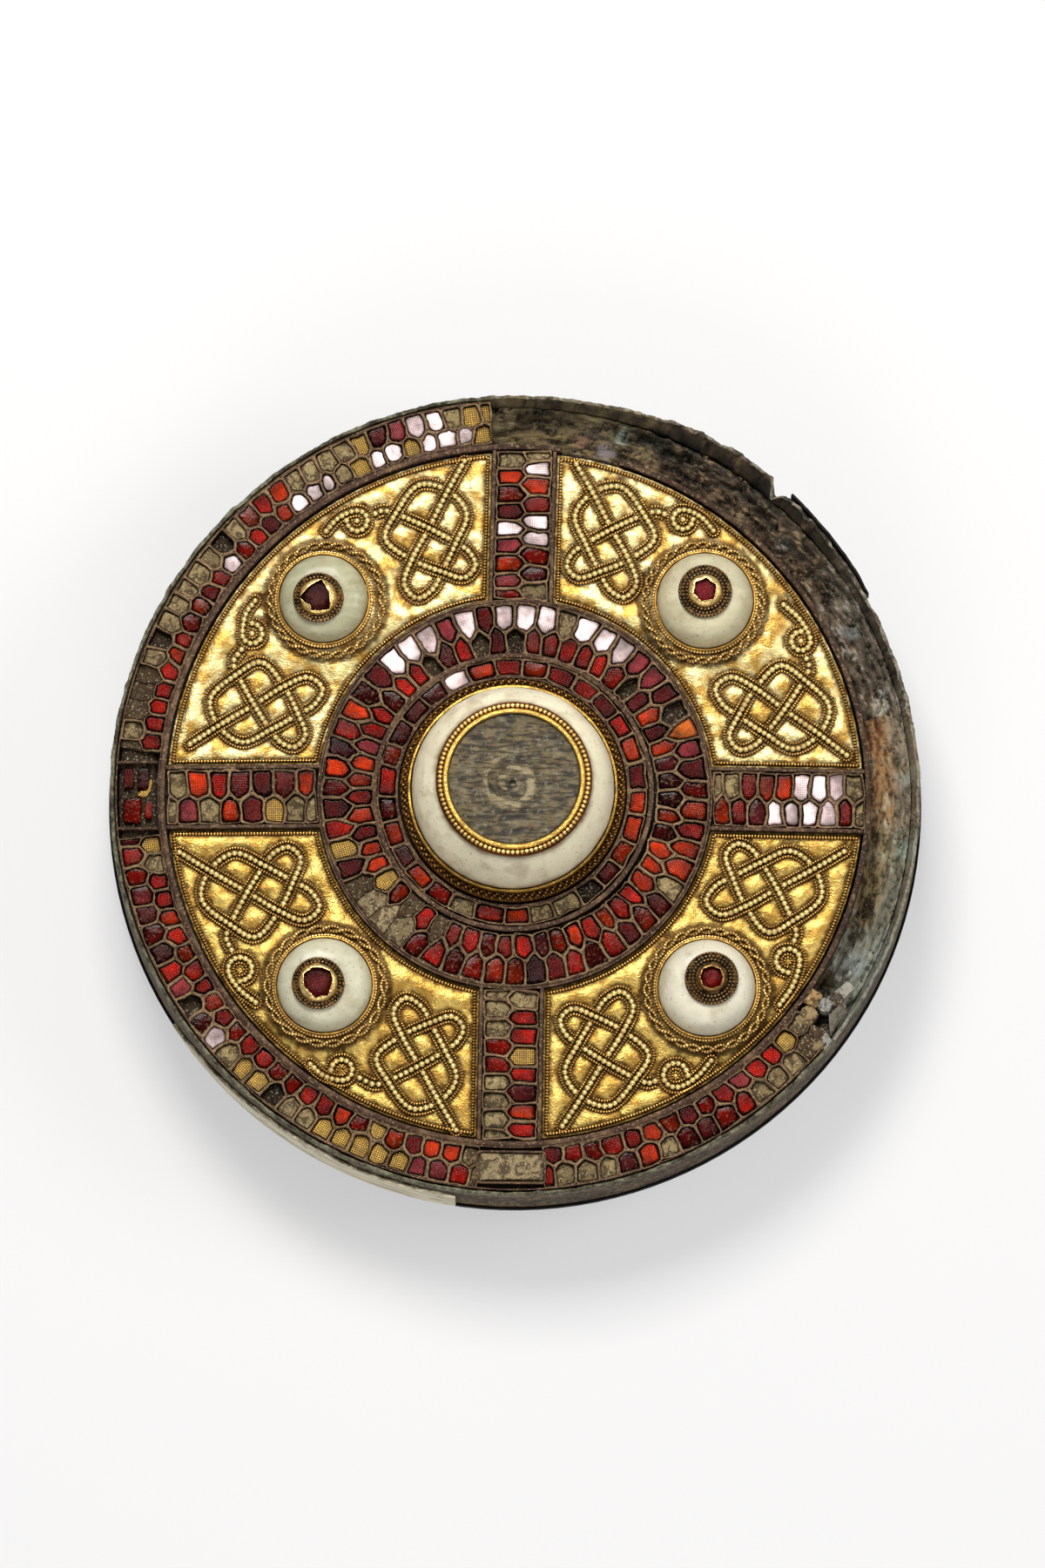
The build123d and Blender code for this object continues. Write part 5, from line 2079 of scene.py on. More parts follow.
LAYS: dict[tuple[str, str], Lay] = {
    ("upper_left", "side"): Lay(0.984, -1.0, (-0.63, -0.09), (25.68, 15.96), 1.0, (25.38, 19.21)),
    ("upper_left", "top"): Lay(1.009, 3.2, (0.27, -0.64), (27.13, 15.45), 1.03, (26.09, 18.46)),
    ("upper_right", "top"): Lay(0.983, 2.5, (0.19, 0.40), (27.26, 16.40), 0.98, (26.13, 19.37)),
    ("upper_right", "side"): Lay(1.010, -5.7, (0.11, -0.48), (27.91, 15.22), 0.95, (26.22, 18.81)),
    ("lower_left", "side"): Lay(1.032, 0.0, (-0.06, 0.59), (26.79, 17.19), 1.18, (25.24, 20.47)),
    ("lower_left", "top"): Lay(0.975, 1.2, (0.61, 0.32), (27.12, 16.88), 1.04, (26.52, 19.96)),
    ("lower_right", "top"): Lay(1.010, -1.7, (0.11, -0.33), (27.63, 15.62), 1.2, (26.19, 19.09)),
    ("lower_right", "side"): Lay(1.007, 1.5, (-0.60, 0.23), (26.59, 16.34), 1.18, (25.75, 20.70)),
}
KNOT: dict[str, Flat] = {
    "tail": (32.54, 5.18), "c1": (29.70, 6.95), "c2": (26.12, 9.00), "c3": (23.13, 10.80),
    "loop_1": (20.68, 11.68), "loop_2": (19.30, 10.49), "loop_3": (20.14, 8.91), "c4": (21.77, 7.97),
    "c5": (24.54, 6.45), "bend_1": (27.34, 5.27), "bend_2": (30.43, 9.69), "c6": (27.71, 12.13),
    "bend_3": (25.34, 13.28), "loop_4": (21.09, 5.79), "loop_5": (22.20, 4.69), "loop_6": (23.57, 5.22),
    "neck": (28.11, 13.35),
}
KNOT_MIDDLE: Flat = (24.925, 8.64)
ROUTE = ("tail", "c1", "c2", "c3", "loop_1", "loop_2", "loop_3", "c4", "c5", "bend_1", "c1", "bend_2", "c6",
         "bend_3", "c3", "c4", "loop_4", "loop_5", "loop_6", "c5", "c2", "c6", "neck")


class Layer(Enum):
    """Whether a strand passes over or under another."""

    OVER = 1
    UNDER = -1


Crossings = Sequence[tuple[int, Layer]]


@dataclass
class Strand:
    """One interlace of a row of big beads between two fine beaded wires, with its curl."""

    lay: Lay
    place: Surface
    level: float
    flank: float = 0.53
    flank_drop: float = 0.06
    lift: float = 0.14
    cut: float = 0.8

    def knot(self) -> tuple[list[Flat], Crossings]:
        """Middle line of the interlace and the places in it where it crosses itself.

        Returns:
            The line in plan, and its crossings.
        """
        points = []
        for name in ROUTE:
            u, v = turned((KNOT[name][0] - KNOT_MIDDLE[0], KNOT[name][1] - KNOT_MIDDLE[1]), self.lay.turn)
            points.append((KNOT_MIDDLE[0] + self.lay.shift[0] + self.lay.scale * u,
                           KNOT_MIDDLE[1] + self.lay.shift[1] + self.lay.scale * v))
        loop, neck = Vector(self.lay.curl_loop), Vector(points[-1])
        end = loop + (neck - loop).normalized() * (self.lay.curl_radius + self.flank + 0.35)
        if (end - neck).length > 0.4:
            points.append((end.x, end.y))
        line, stops = flowing([self.place(point) for point in points])
        visits = [number for number, name in zip(stops, ROUTE) if name[0] == "c"]
        return line, [(number, (Layer.OVER, Layer.UNDER)[turn % 2]) for turn, number in enumerate(visits)]

    def curl(self) -> list[Flat]:
        """Middle line of the curl, from the tip of its tail round its loop."""
        (cu, cv), radius, (tu, tv) = self.lay.curl_loop, self.lay.curl_radius, self.lay.curl_tip
        points = [(tu, tv), ((tu + cu + radius) / 2 + 0.25, (tv + cv) / 2 + 0.35)]
        stops = (polar(radius, angle) for angle in (20, -30, -80, -130, 180, 135, 90))
        points += [(cu + u, cv + v) for u, v in stops]
        return flowing([self.place(point) for point in points])[0]

    def spans(self, line: Sequence[Flat], crossings: Crossings = (), drop: float = 0.0) -> list[Line]:
        """Cuts a line where it passes under another, and lifts it where it passes over.

        Args:
            line: the line in plan.
            crossings: the numbers of its points at crossings, with its layer there.
            drop: how far it lies below the strand's level.

        Returns:
            The parts that are left.
        """
        lengths = [0.0]
        for first, second in zip(line, line[1:]):
            lengths.append(lengths[-1] + math.dist(first, second))
        parts: list[list[Solid]] = [[]]
        for (x, y), along in zip(line, lengths):
            gaps = [(abs(along - lengths[min(number, len(lengths) - 1)]), layer)
                    for number, layer in crossings]
            if any(layer is Layer.UNDER and gap < self.cut for gap, layer in gaps):
                if parts[-1]:
                    parts.append([])
                continue
            rises = [self.lift * (1 - smooth(gap, 0.5, 1.5)) for gap, layer in gaps if layer is Layer.OVER]
            parts[-1].append((x, y, self.level + max([0.0, *rises]) - drop))
        return [Line(part) for part in parts if len(part) > 3]

    def flanks(self, line: Sequence[Flat], crossings: Crossings = ()) -> list[Line]:
        """Draws fine wires along both sides of a line, joined round its first point.

        Args:
            line: the line in plan.
            crossings: the numbers of its points at crossings, with its layer there.

        Returns:
            The wires' parts.
        """
        left, right = beside(line, self.flank), beside(line, -self.flank)
        (x, y), ahead = line[0], heading(line[0][0] - line[1][0], line[0][1] - line[1][1])
        tip = [(x + u, y + v) for u, v in (polar(self.flank, ahead + angle) for angle in range(-75, 76, 15))]
        if math.dist(left[0], tip[-1]) < math.dist(left[0], tip[0]):
            tip = tip[::-1]
        marks = [(len(left) - 1 - number, layer) for number, layer in crossings]
        marks += [(len(left) + len(tip) + number, layer) for number, layer in crossings]
        return self.spans(left[::-1] + tip + right, marks, self.flank_drop)


@dataclass(frozen=True)
class BossMeasures:
    """Sizes of one small boss: rope, shell and cap, each with its own middle, and its colours."""

    rope_middle: Flat
    rope_radius: float
    rope_turns: int
    shell_middle: Flat
    shell_radius: float
    cap_middle: Flat
    cap_radius: float
    dome_radius: float
    hole: float
    spread: float
    shell_colour: Colour
    gold: Colour
    stone: Colour
    torn_edge: tuple[Flat, ...]


BOSSES: dict[str, BossMeasures] = {
    "upper_left": BossMeasures(
        (-18.42, 19.25), 5.47, 14, (-18.69, 19.3), 4.3, (-19.2, 19.05), 2.5, 1.78, 1.3, 1.2,
        pigment(176, 174, 140), pigment(236, 200, 128), pigment(66, 12, 10),
        ((20.0, 0.95), (60.0, 1.1), (78.0, 1.42), (100.0, 1.2), (135.0, 1.1), (182.0, 1.52), (205.0, 1.2),
         (232.0, 0.95), (244.0, 1.32), (275.0, 1.2), (310.0, 1.42), (340.0, 1.05))),
    "upper_right": BossMeasures(
        (18.36, 19.0), 5.71, 16, (18.55, 19.1), 4.68, (18.52, 19.55), 2.65, 1.64, 1.15, 0.92,
        pigment(202, 194, 160), pigment(236, 204, 136), pigment(128, 16, 28),
        ((0.0, 1.18), (28.0, 1.3), (52.0, 1.1), (84.0, 1.32), (108.0, 1.12), (140.0, 1.34), (165.0, 1.12),
         (196.0, 1.3), (222.0, 1.1), (252.0, 1.28), (282.0, 1.12), (312.0, 1.34), (338.0, 1.12))),
    "lower_left": BossMeasures(
        (-18.45, -18.87), 5.68, 11, (-18.56, -18.85), 4.62, (-19.15, -19.0), 2.6, 1.88, 1.5, 1.06,
        pigment(208, 205, 177), pigment(236, 204, 134), pigment(92, 10, 10),
        ((10.0, 1.38), (42.0, 1.5), (75.0, 1.4), (110.0, 1.46), (150.0, 1.52), (195.0, 1.34), (232.0, 1.22),
         (262.0, 1.5), (284.0, 1.3), (305.0, 1.56), (330.0, 1.28))),
    "lower_right": BossMeasures(
        (18.68, -19.24), 5.85, 14, (18.67, -19.1), 4.72, (19.1, -18.6), 2.65, 1.42, 1.13, 1.0,
        pigment(226, 220, 198), pigment(160, 124, 74), pigment(124, 12, 12),
        ((0.0, 1.1), (45.0, 1.16), (90.0, 1.1), (135.0, 1.16), (180.0, 1.1), (225.0, 1.16), (270.0, 1.1),
         (315.0, 1.16))),
}


@dataclass
class Panel(SubAssembly):
    """Gold panel: hammered sheet, beaded border, two interlaces and two curls."""

    name: str
    first_arm: float
    second_arm: float
    signs: tuple[int, int]
    arm_half: float = 3.15
    inner_margin: float = 0.4
    outer_margin: float = 0.8
    sheet: float = 0.5
    grid: float = 0.2
    swell: float = 0.24
    border_inset: float = 0.42
    fine_wire: Wire = Wire(0.15, 0.27, 0.45)
    border_wire: Wire = Wire(0.19, 0.3, 0.42)
    bead_row: Wire = Wire(0.31, 0.52, 0.1, beads=True)
    lines: list[Line] = field(default_factory=list)
    beads: list[Line] = field(default_factory=list)

    def edge_angles(self, radius: float, margin: float) -> Flat:
        """Angles where a circle meets the arms' sides, with a margin to them."""
        bite = math.degrees(math.asin((self.arm_half + margin) / radius))
        return self.first_arm + bite, self.second_arm - bite

    def strands(self) -> None:
        """Works out the lines of the wires."""
        level = self.gauge.bed + self.sheet + 0.22
        for kind in ("side", "top"):
            def place(point: Flat) -> Flat:
                """Place in the brooch of a place beside an arm."""
                x, y = point if kind == "side" else point[::-1]
                return x * self.signs[0], y * self.signs[1]

            lay = LAYS[(self.name, kind)]
            strand = Strand(lay, place, level)
            knot, crossings = strand.knot()
            curl = strand.curl()
            self.beads += strand.spans(knot, crossings) + strand.spans(curl)
            self.lines += strand.flanks(knot, crossings) + strand.flanks(curl)
            cx, cy = place(lay.curl_loop)
            if self.signs[1] > 0:
                self.beads.append(Line([(cx - 0.01, cy, level), (cx + 0.01, cy, level)]))
            else:
                self.lines.append(ring_line((cx, cy), 0.34, level - 0.06, 0.1))

    def border(self) -> list[Line]:
        """Line of the beaded wire round the panel."""
        near = self.gauge.middle + self.inner_margin + self.border_inset
        far = self.gauge.cross - self.outer_margin - 0.38
        corners: list[Flat] = []
        for radius, way in ((near, 1), (far, -1)):
            first, last = self.edge_angles(radius, self.border_inset)
            corners += arc(radius, first, last - first, 0.3)[::way]
        return [Line([(x, y, self.gauge.bed + self.sheet + 0.14) for x, y in corners], closed=True)]

    def sheet_form(self) -> Form:
        """Builds the sheet, pressed up between its wires and darker beside them, partly grime and partly
        painted shade.

        Returns:
            The sheet.
        """
        wires = [point for line in self.beads for point in line.points]
        tree = KDTree(len(wires))
        for number, point in enumerate(wires):
            tree.insert((point[0], point[1], 0.0), number)
        tree.balance()
        inner, outer = self.gauge.middle + self.inner_margin, self.gauge.cross - self.outer_margin
        rows = round((outer - inner) / self.grid)
        mean_width = math.radians(self.second_arm - self.first_arm) * (inner + outer) / 2 * 0.84
        columns = round(mean_width / self.grid)
        form = Form()
        # Lower panels get darker, more orange gold and shallower dents; the brighter upper colours partly
        # paint the stronger light there.
        bright, mid, dents = pigment(255, 232, 162), pigment(196, 154, 76), 0.85
        if self.signs[1] < 0:
            bright, mid, dents = pigment(228, 193, 106), pigment(190, 148, 70), 0.4
        grime_and_shade = pigment(46, 24, 6)
        boss = BOSSES[self.name]
        level = self.gauge.bed + self.sheet
        loops = []
        for row in range(rows + 1):
            radius = inner + (outer - inner) * row / rows
            first, last = self.edge_angles(radius, 0.02)
            width = math.radians(last - first) * radius / columns
            loop = []
            for column in range(columns + 1):
                x, y = polar(radius, first + (last - first) * column / columns)
                away = tree.find((x, y, 0.0))[2]
                rim = min(radius - inner, outer - radius, min(column, columns - column) * width)
                swell = self.swell * smooth(away, 0.5, 2.2) * smooth(rim, 0.3, 1.8)
                hammer = 0.035 * rough(x, y, 1.1, 41.0) + 0.06 * rough(x, y, 3.4, 42.0)
                hammer *= dents * smooth(rim, 0.2, 1.0)
                lip = 0.1 * (1 - smooth(rim, 0.0, 0.15))
                tone = blended(mid, bright, smooth(rough(x, y, 1.5, 43.0), -0.35, 0.3))
                to_rope = abs(math.dist((x, y), boss.rope_middle) - boss.rope_radius)
                grubby = 0.2 * rough(x, y, 0.5, 44.0)
                # Darker towards the wires, the rope and the border: grime and painted shade.
                for gap, clean in ((away, 1.0), (to_rope, 0.95), (abs(rim - self.border_inset), 0.5)):
                    tone = blended(grime_and_shade, tone, 0.1 + 0.9 * smooth(gap + grubby, clean - 0.3, clean + 0.12))
                loop.append(form.point((x, y, level + swell + hammer + lip), shaded(tone, 1.0)))
            loops.append(loop)
        form.stack(loops, closed=False)
        edge = loops[0] + [loop[-1] for loop in loops[1:-1]]
        edge += loops[-1][::-1] + [loop[0] for loop in loops[-2:0:-1]]
        foot = form.loop([form.points[number][:2] for number in edge], self.gauge.bed + 0.05,
                         shaded(grime_and_shade, 0.6))
        form.stack([edge, foot])
        form.faces.append(foot)
        return form

    def build(self) -> None:
        """Builds and dresses the panel."""
        self.strands()
        name = "gold_panel_" + self.name
        self.shop.fit(name + "_sheet", self.sheet_form(), "gold", "gold", [name], 0.0)
        self.shop.string(name + "_fine_wires", self.lines, self.fine_wire, "gold_wire")
        self.shop.string(name + "_border_wire", self.border(), self.border_wire, "gold_wire")
        self.shop.string(name + "_beads", self.beads, self.bead_row, "gold_beads")


def rope(middle: Flat, radius: float, level: float, strand: float, turns: int) -> list[Line]:
    """Draws the two strands of a slightly flat rope that is laid in a ring.

    Args:
        middle: the ring's centre.
        radius: the ring's radius at the rope's middle.
        level: height of the rope's middle.
        strand: distance of each strand from the rope's middle.
        turns: how often a strand goes round the rope.

    Returns:
        The closed lines.
    """
    steps = max(240, turns * 12)
    lines = []
    for start in (0, 180):
        points = []
        for angle in (360 * step / steps for step in range(steps)):
            across, up = polar(strand, angle * turns + start)
            x, y = polar(radius + across, angle)
            points.append((middle[0] + x, middle[1] + y, level + 0.8 * up))
        lines.append(Line(points, closed=True))
    return lines


def ring_line(middle: Flat, radius: float, level: float, step: float = 0.15) -> Line:
    """Closed round line."""
    return Line([(x, y, level) for x, y in arc(radius, 0, 360, step, middle)], closed=True)


@dataclass
class SmallBoss(SubAssembly):
    """Small boss: gold seat and rope, shell dome, gold cap with an open top, and a garnet inside it."""

    name: str
    measures: BossMeasures
    sheet_top: float
    shell_top: float
    cap_foot: float
    cap_top: float
    rope_strand: float = 0.28
    rope_wire: Wire = Wire(0.165, 0.3, 0.3)
    cap_wire: Wire = Wire(0.14, 0.36, 0.5)

    def seat(self) -> Form:
        """Builds the upright gold wall round the shell."""
        inner, foot = self.measures.shell_radius + 0.05, self.sheet_top
        profile = [(inner + 0.34, foot - 0.1), (inner + 0.26, foot + 0.5), (inner + 0.18, foot + 0.88),
                   (inner + 0.08, foot + 0.92), (inner, foot + 0.8), (inner, foot - 0.1)]

        def warp(x: float, y: float, z: float, number: int) -> Solid:
            """Uneven top edge."""
            return x, y, z + (0.1 * rough(x, y, 1.2, 52.0) if number in (2, 3, 4) else 0.0)

        # Bright on the top edge, with painted shade on the wall's sides and foot.
        tint = crested(pigment(226, 176, 88), pigment(48, 25, 8), (2, 3), 1.0, 0.3, 0.9, 51.0)
        return lathe(profile, self.measures.shell_middle, 120, tint, warp)

    def shell(self) -> Form:
        """Builds the shell dome, a little worn and uneven.

        Returns:
            The dome.
        """
        top, foot, radius = self.shell_top, self.sheet_top + 0.6, self.measures.shell_radius
        crown = self.measures.cap_radius * 0.72
        profile = [(radius - 0.02, self.sheet_top + 0.02), (radius - 0.01, foot)]
        for part in range(1, 15):
            angle = part / 14 * math.pi / 2
            profile.append((crown + (radius - crown) * math.cos(angle) ** 0.8,
                            foot + (top - foot) * math.sin(angle) ** 0.95))
        profile.append((0.0, top))

        def tint(x: float, y: float, number: int) -> Tint:
            """Shell colour with brown stains near the foot and under the cap.

            Args:
                x: place to the right.
                y: place upwards.
                number: number of the profile's point.

            Returns:
                The tint.
            """
            edge = smooth(number, 0.0, 5.0) * (1 - 0.5 * smooth(number, 13.0, 15.0))
            share = clamp(edge + 0.35 * rough(x, y, 1.2, 53.0) + 0.2)
            stained = blended(pigment(136, 112, 76), self.measures.shell_colour, share)
            return shaded(stained, 1.0 + 0.1 * rough(x, y, 2.0, 54.0))

        def warp(x: float, y: float, z: float, number: int) -> Solid:
            """Worn, slightly uneven surface."""
            return x, y, z + (0.07 * rough(x, y, 1.8, 55.0) - 0.03 if 2 <= number <= 14 else 0.0)

        return lathe(profile, self.measures.shell_middle, 96, tint, warp)

    def torn_reach(self, angle: float) -> float:
        """Works out how far the cap's ragged opening reaches in a direction, between its charted corners.

        Args:
            angle: the direction.

        Returns:
            The distance from the cap's middle.
        """
        corners = [(at, reach * self.measures.spread) for at, reach in self.measures.torn_edge]
        turn = angle % 360
        for (first, near), (last, far) in zip(corners, corners[1:] + [(corners[0][0] + 360, corners[0][1])]):
            for lap in (turn, turn + 360):
                if first <= lap < last:
                    start, end = Vector(polar(near, first)), Vector(polar(far, last))
                    ray = Vector(polar(1.0, lap))
                    side = end - start
                    return (start.x * side.y - start.y * side.x) / (ray.x * side.y - ray.y * side.x)
        return self.measures.hole

    def flange(self) -> Form:
        """Builds the cap's dark flange, a low stepped cone."""
        level, rim, dome = self.cap_foot, self.measures.cap_radius - 0.12, self.measures.dome_radius
        profile = [(rim, level), (rim + 0.04, level + 0.18), (rim - 0.12, level + 0.3),
                   (rim - 0.3, level + 0.26), (dome + 0.16, level + 0.4), (dome + 0.04, level + 0.5),
                   (dome - 0.1, level + 0.5), (dome - 0.1, level)]

        def tint(x: float, y: float, number: int) -> Tint:
            """Dark bronze, lighter on its edges: partly wear and partly painted highlight."""
            share = smooth(rough(x, y, 0.5, 56.0), -0.3, 0.6) * (0.8 if number in (1, 2, 5) else 0.15)
            return shaded(blended(pigment(20, 14, 8), pigment(160, 122, 70), share), 1.0)

        return lathe(profile, self.measures.cap_middle, 96, tint)

    def cap(self) -> Form:
        """Builds the cap's thin dome with its ragged opening.

        Returns:
            The dome.
        """
        level, high, thick = self.cap_foot + 0.36, self.cap_top, 0.1
        (cx, cy), dome, hole = self.measures.cap_middle, self.measures.dome_radius, self.measures.hole
        profile = [(dome, level), (dome + 0.03, level + 0.12)]
        for share in (0.15, 0.35, 0.55, 0.75, 0.9, 1.0):
            across, up = polar(1.0, share * 90)
            profile.append((hole + (dome - hole) * across, level + 0.12 + (high - level - 0.16) * up))
        lip = len(profile) - 1
        profile += [(hole - 0.01, high - 0.1 - thick), (dome - thick - 0.08, level + 0.1),
                    (dome - thick - 0.06, level)]

        def tint(x: float, y: float, number: int) -> Tint:
            """Bright gold outside, with painted shade at the dome's foot and inside the opening."""
            light = (0.55 if number < 2 else 1.0) + 0.3 * rough(x, y, 0.6, 57.0)
            return shaded(self.measures.gold, 0.12 if number > lip else light)

        def warp(x: float, y: float, z: float, number: int) -> Solid:
            """Draws the dome in to the opening's ragged edge and dents it.

            Args:
                x: place to the right.
                y: place upwards.
                z: its level.
                number: number of the profile's point.

            Returns:
                The moved point.
            """
            if number < 2 or number > lip + 1:
                return x, y, z
            angle = heading(x - cx, y - cy)
            edge = self.torn_reach(angle)
            drawn = edge + (math.hypot(x - cx, y - cy) - hole) * (dome - edge) / (dome - hole)
            sag = max((edge - hole) * 0.35 * smooth(number, 3, lip), 0.0)
            dent = 0.06 * rough(x, y, 0.8, 58.0) * smooth(number, 1, 4)
            px, py = polar(drawn, angle)
            return cx + px, cy + py, z - sag + dent - 0.03

        return lathe(profile, (cx, cy), 120, tint, warp)

    def garnet(self) -> Form:
        """Builds the round garnet under the cap's opening."""
        radius, level, top = self.measures.dome_radius - 0.22, self.cap_foot + 0.27, self.cap_top - 0.42
        profile = [(radius, level), (radius, top - 0.4), (radius - 0.07, top - 0.28),
                   (radius * 0.8, top - 0.12), (radius * 0.5, top - 0.02), (radius * 0.25, top),
                   (0.0, top + 0.01)]

        def tint(x: float, y: float, number: int) -> Tint:
            """Dark red, with painted shade at its edge and on the side away from the light.

            Args:
                x: place to the right.
                y: place upwards.
                number: number of the profile's point.

            Returns:
                The tint.
            """
            light = (0.2, 0.25, 0.3, 0.55, 0.9, 1.05, 1.1)[number]
            light *= 1 - 0.3 * (y - self.measures.cap_middle[1]) / radius
            return shaded(self.measures.stone, light, 0.8)

        return lathe(profile, self.measures.cap_middle, 48, tint)

    def build(self) -> None:
        """Builds and dresses the boss."""
        measures, fit = self.measures, self.shop.fit
        fit("boss_seat_" + self.name, self.seat(), "gold", "gold")
        fit("boss_shell_" + self.name, self.shell(), "shell", "shell", ["shell_boss_" + self.name], 0.0)
        fit("boss_cap_flange_" + self.name, self.flange(), "cap_bronze", "gold")
        fit("boss_cap_gold_" + self.name, self.cap(), "cap_gold", "gold", ["boss_cap_" + self.name], 60.0)
        fit("boss_stone_" + self.name, self.garnet(), "garnet", "garnet", ["boss_garnet_" + self.name])
        strands = rope(measures.rope_middle, measures.rope_radius, self.sheet_top + 0.42, self.rope_strand,
                       measures.rope_turns)
        strands.append(ring_line(measures.shell_middle, measures.shell_radius + 0.38, self.sheet_top + 0.5))
        self.shop.string("boss_rope_" + self.name, strands, self.rope_wire, "rope_wire")
        room = measures.cap_radius - measures.dome_radius - 0.05
        rings = [ring_line(measures.cap_middle, measures.cap_radius - inward,
                           self.cap_foot + 0.22 + 0.35 * (inward - 0.13))
                 for inward in (0.13, 0.48, 0.83) if inward < room]
        self.shop.string("boss_cap_wire_" + self.name, rings, self.cap_wire, "bronze_wire")


@dataclass
class CentreBoss(SubAssembly):
    """Tall boss in the middle: collar with rope, shell, gold rings and the dark disc on top."""

    shell_top: float
    ring_foot: float
    ring_top: float
    foot_middle: Flat = (-0.23, 0.4)
    top_middle: Flat = (-0.1, 0.3)
    rope_radius: float = 10.6
    rope_strand: float = 0.27
    rope_turns: int = 46
    disc_radius: float = 6.36
    disc_hole: float = 0.3
    disc_steps: int = 120
    disc_drift: Flat = (-0.15, -0.4)
    swirl_middle: Flat = (-0.13, -0.36)
    crescent_middle: Flat = (-0.25, -0.1)
    crescent_radius: float = 2.15
    crescent_angle: float = 160.0
    rope_wire: Wire = Wire(0.18, 0.28, 0.42)
    ring_wire: Wire = Wire(0.24, 0.46, 0.4)
    shell_sections: tuple[Flat, ...] = (
        (9.86, 0.0), (9.87, 0.12), (9.8, 0.24), (9.66, 0.36), (9.46, 0.48), (9.18, 0.6),
        (8.84, 0.71), (8.5, 0.8), (8.2, 0.88), (7.95, 0.945), (7.72, 0.985), (7.4, 1.0))

    def collar(self) -> Form:
        """Builds the gold collar: a flat foot and the wall that holds the shell."""
        bed = self.gauge.bed
        profile = [(11.02, bed + 0.04), (11.02, bed + 1.0), (10.9, bed + 1.1), (10.35, bed + 1.15),
                   (10.28, bed + 1.9), (10.2, bed + 2.3), (10.02, bed + 2.34), (9.93, bed + 2.2),
                   (9.93, bed + 0.04)]

        def warp(x: float, y: float, z: float, number: int) -> Solid:
            """Uneven top edge."""
            return x, y, z + (0.12 * rough(x, y, 1.6, 62.0) if number in (5, 6, 7) else 0.0)

        # Bright on the top edge, with painted shade on the foot and the wall below it.
        tint = crested(pigment(222, 176, 84), pigment(112, 70, 28), (5, 6), 0.8, 0.4, 1.0, 61.0)
        return lathe(profile, self.foot_middle, 240, tint, warp)

    def shell(self) -> Form:
        """Builds the tall shell, drawn in towards its top.

        Returns:
            The shell.
        """
        foot, top = self.gauge.bed + 2.1, self.shell_top
        profile = [(9.84, self.gauge.bed + 0.05)]
        profile += [(radius, foot + (top - foot) * share) for radius, share in self.shell_sections]
        profile.append((0.0, top))

        def tint(x: float, y: float, number: int) -> Tint:
            """Ivory with brown stains along both edges.

            Args:
                x: place to the right.
                y: place upwards.
                number: number of the profile's point.

            Returns:
                The tint.
            """
            edge = smooth(number, 1.0, 4.0) * (1 - smooth(number, 9.0, 11.5))
            share = clamp(edge + 0.5 * rough(x, y, 2.2, 63.0) + 0.1)
            stained = blended(pigment(128, 98, 58), pigment(255, 247, 216), share)
            return shaded(stained, 1.0 + 0.08 * rough(x, y, 3.0, 64.0))

        def warp(x: float, y: float, z: float, number: int) -> Solid:
            """Low dents and a slight lean towards the top.

            Args:
                x: place to the right.
                y: place upwards.
                z: its level.
                number: number of the profile's point.

            Returns:
                The moved point.
            """
            share = clamp((z - foot) / (top - foot))
            dent = 1 + (0.008 * rough(x, y, 3.0, 65.0) if 1 < number < 11 else 0.0)
            return (x * dent + (self.top_middle[0] - self.foot_middle[0]) * share,
                    y * dent + (self.top_middle[1] - self.foot_middle[1]) * share, z)

        return lathe(profile, self.foot_middle, 240, tint, warp)

    def top_ring(self) -> Form:
        """Builds the gold ring on top, with a groove for its beads and a raised inner lip."""
        level, high = self.ring_foot, self.ring_top
        profile = [(7.6, level + 0.02), (7.62, level + 0.3), (7.4, level + 0.42), (6.98, level + 0.46),
                   (6.92, high - 0.2), (6.8, high - 0.02), (6.55, high - 0.02), (6.44, high - 0.15),
                   (6.4, high - 0.3), (6.4, level + 0.02)]
        # Bright on the lip, with painted shade in the bead groove, on the outer step and inside.
        tint = crested(pigment(214, 176, 92), pigment(84, 50, 18), (4, 5, 6, 7), 1.0, 0.3, 1.0, 66.0)
        return lathe(profile, self.top_middle, 200, tint)

    def relief(self, x: float, y: float) -> float:
        """Height of the disc's swirls by place.

        Args:
            x: place to the right.
            y: place upwards.

        Returns:
            The height.
        """
        cx, cy = (place - top - swirl
                  for place, top, swirl in zip((x, y), self.top_middle, self.swirl_middle))
        radius, angle = math.hypot(cx, cy), math.atan2(cy, cx)
        rings = 0.5 + 0.5 * math.cos(radius * 3.4 + 0.35 * math.sin(angle * 3 + radius) + angle)
        near = 0.26 * (1 - smooth(radius, 1.8, 3.6)) + 0.02 * (1 - smooth(radius, 5.4, 6.0))
        return near * smooth(rings, 0.2, 0.8) * smooth(radius, 0.5, 1.0) + 0.1 * rough(x, y, 0.9, 67.0)

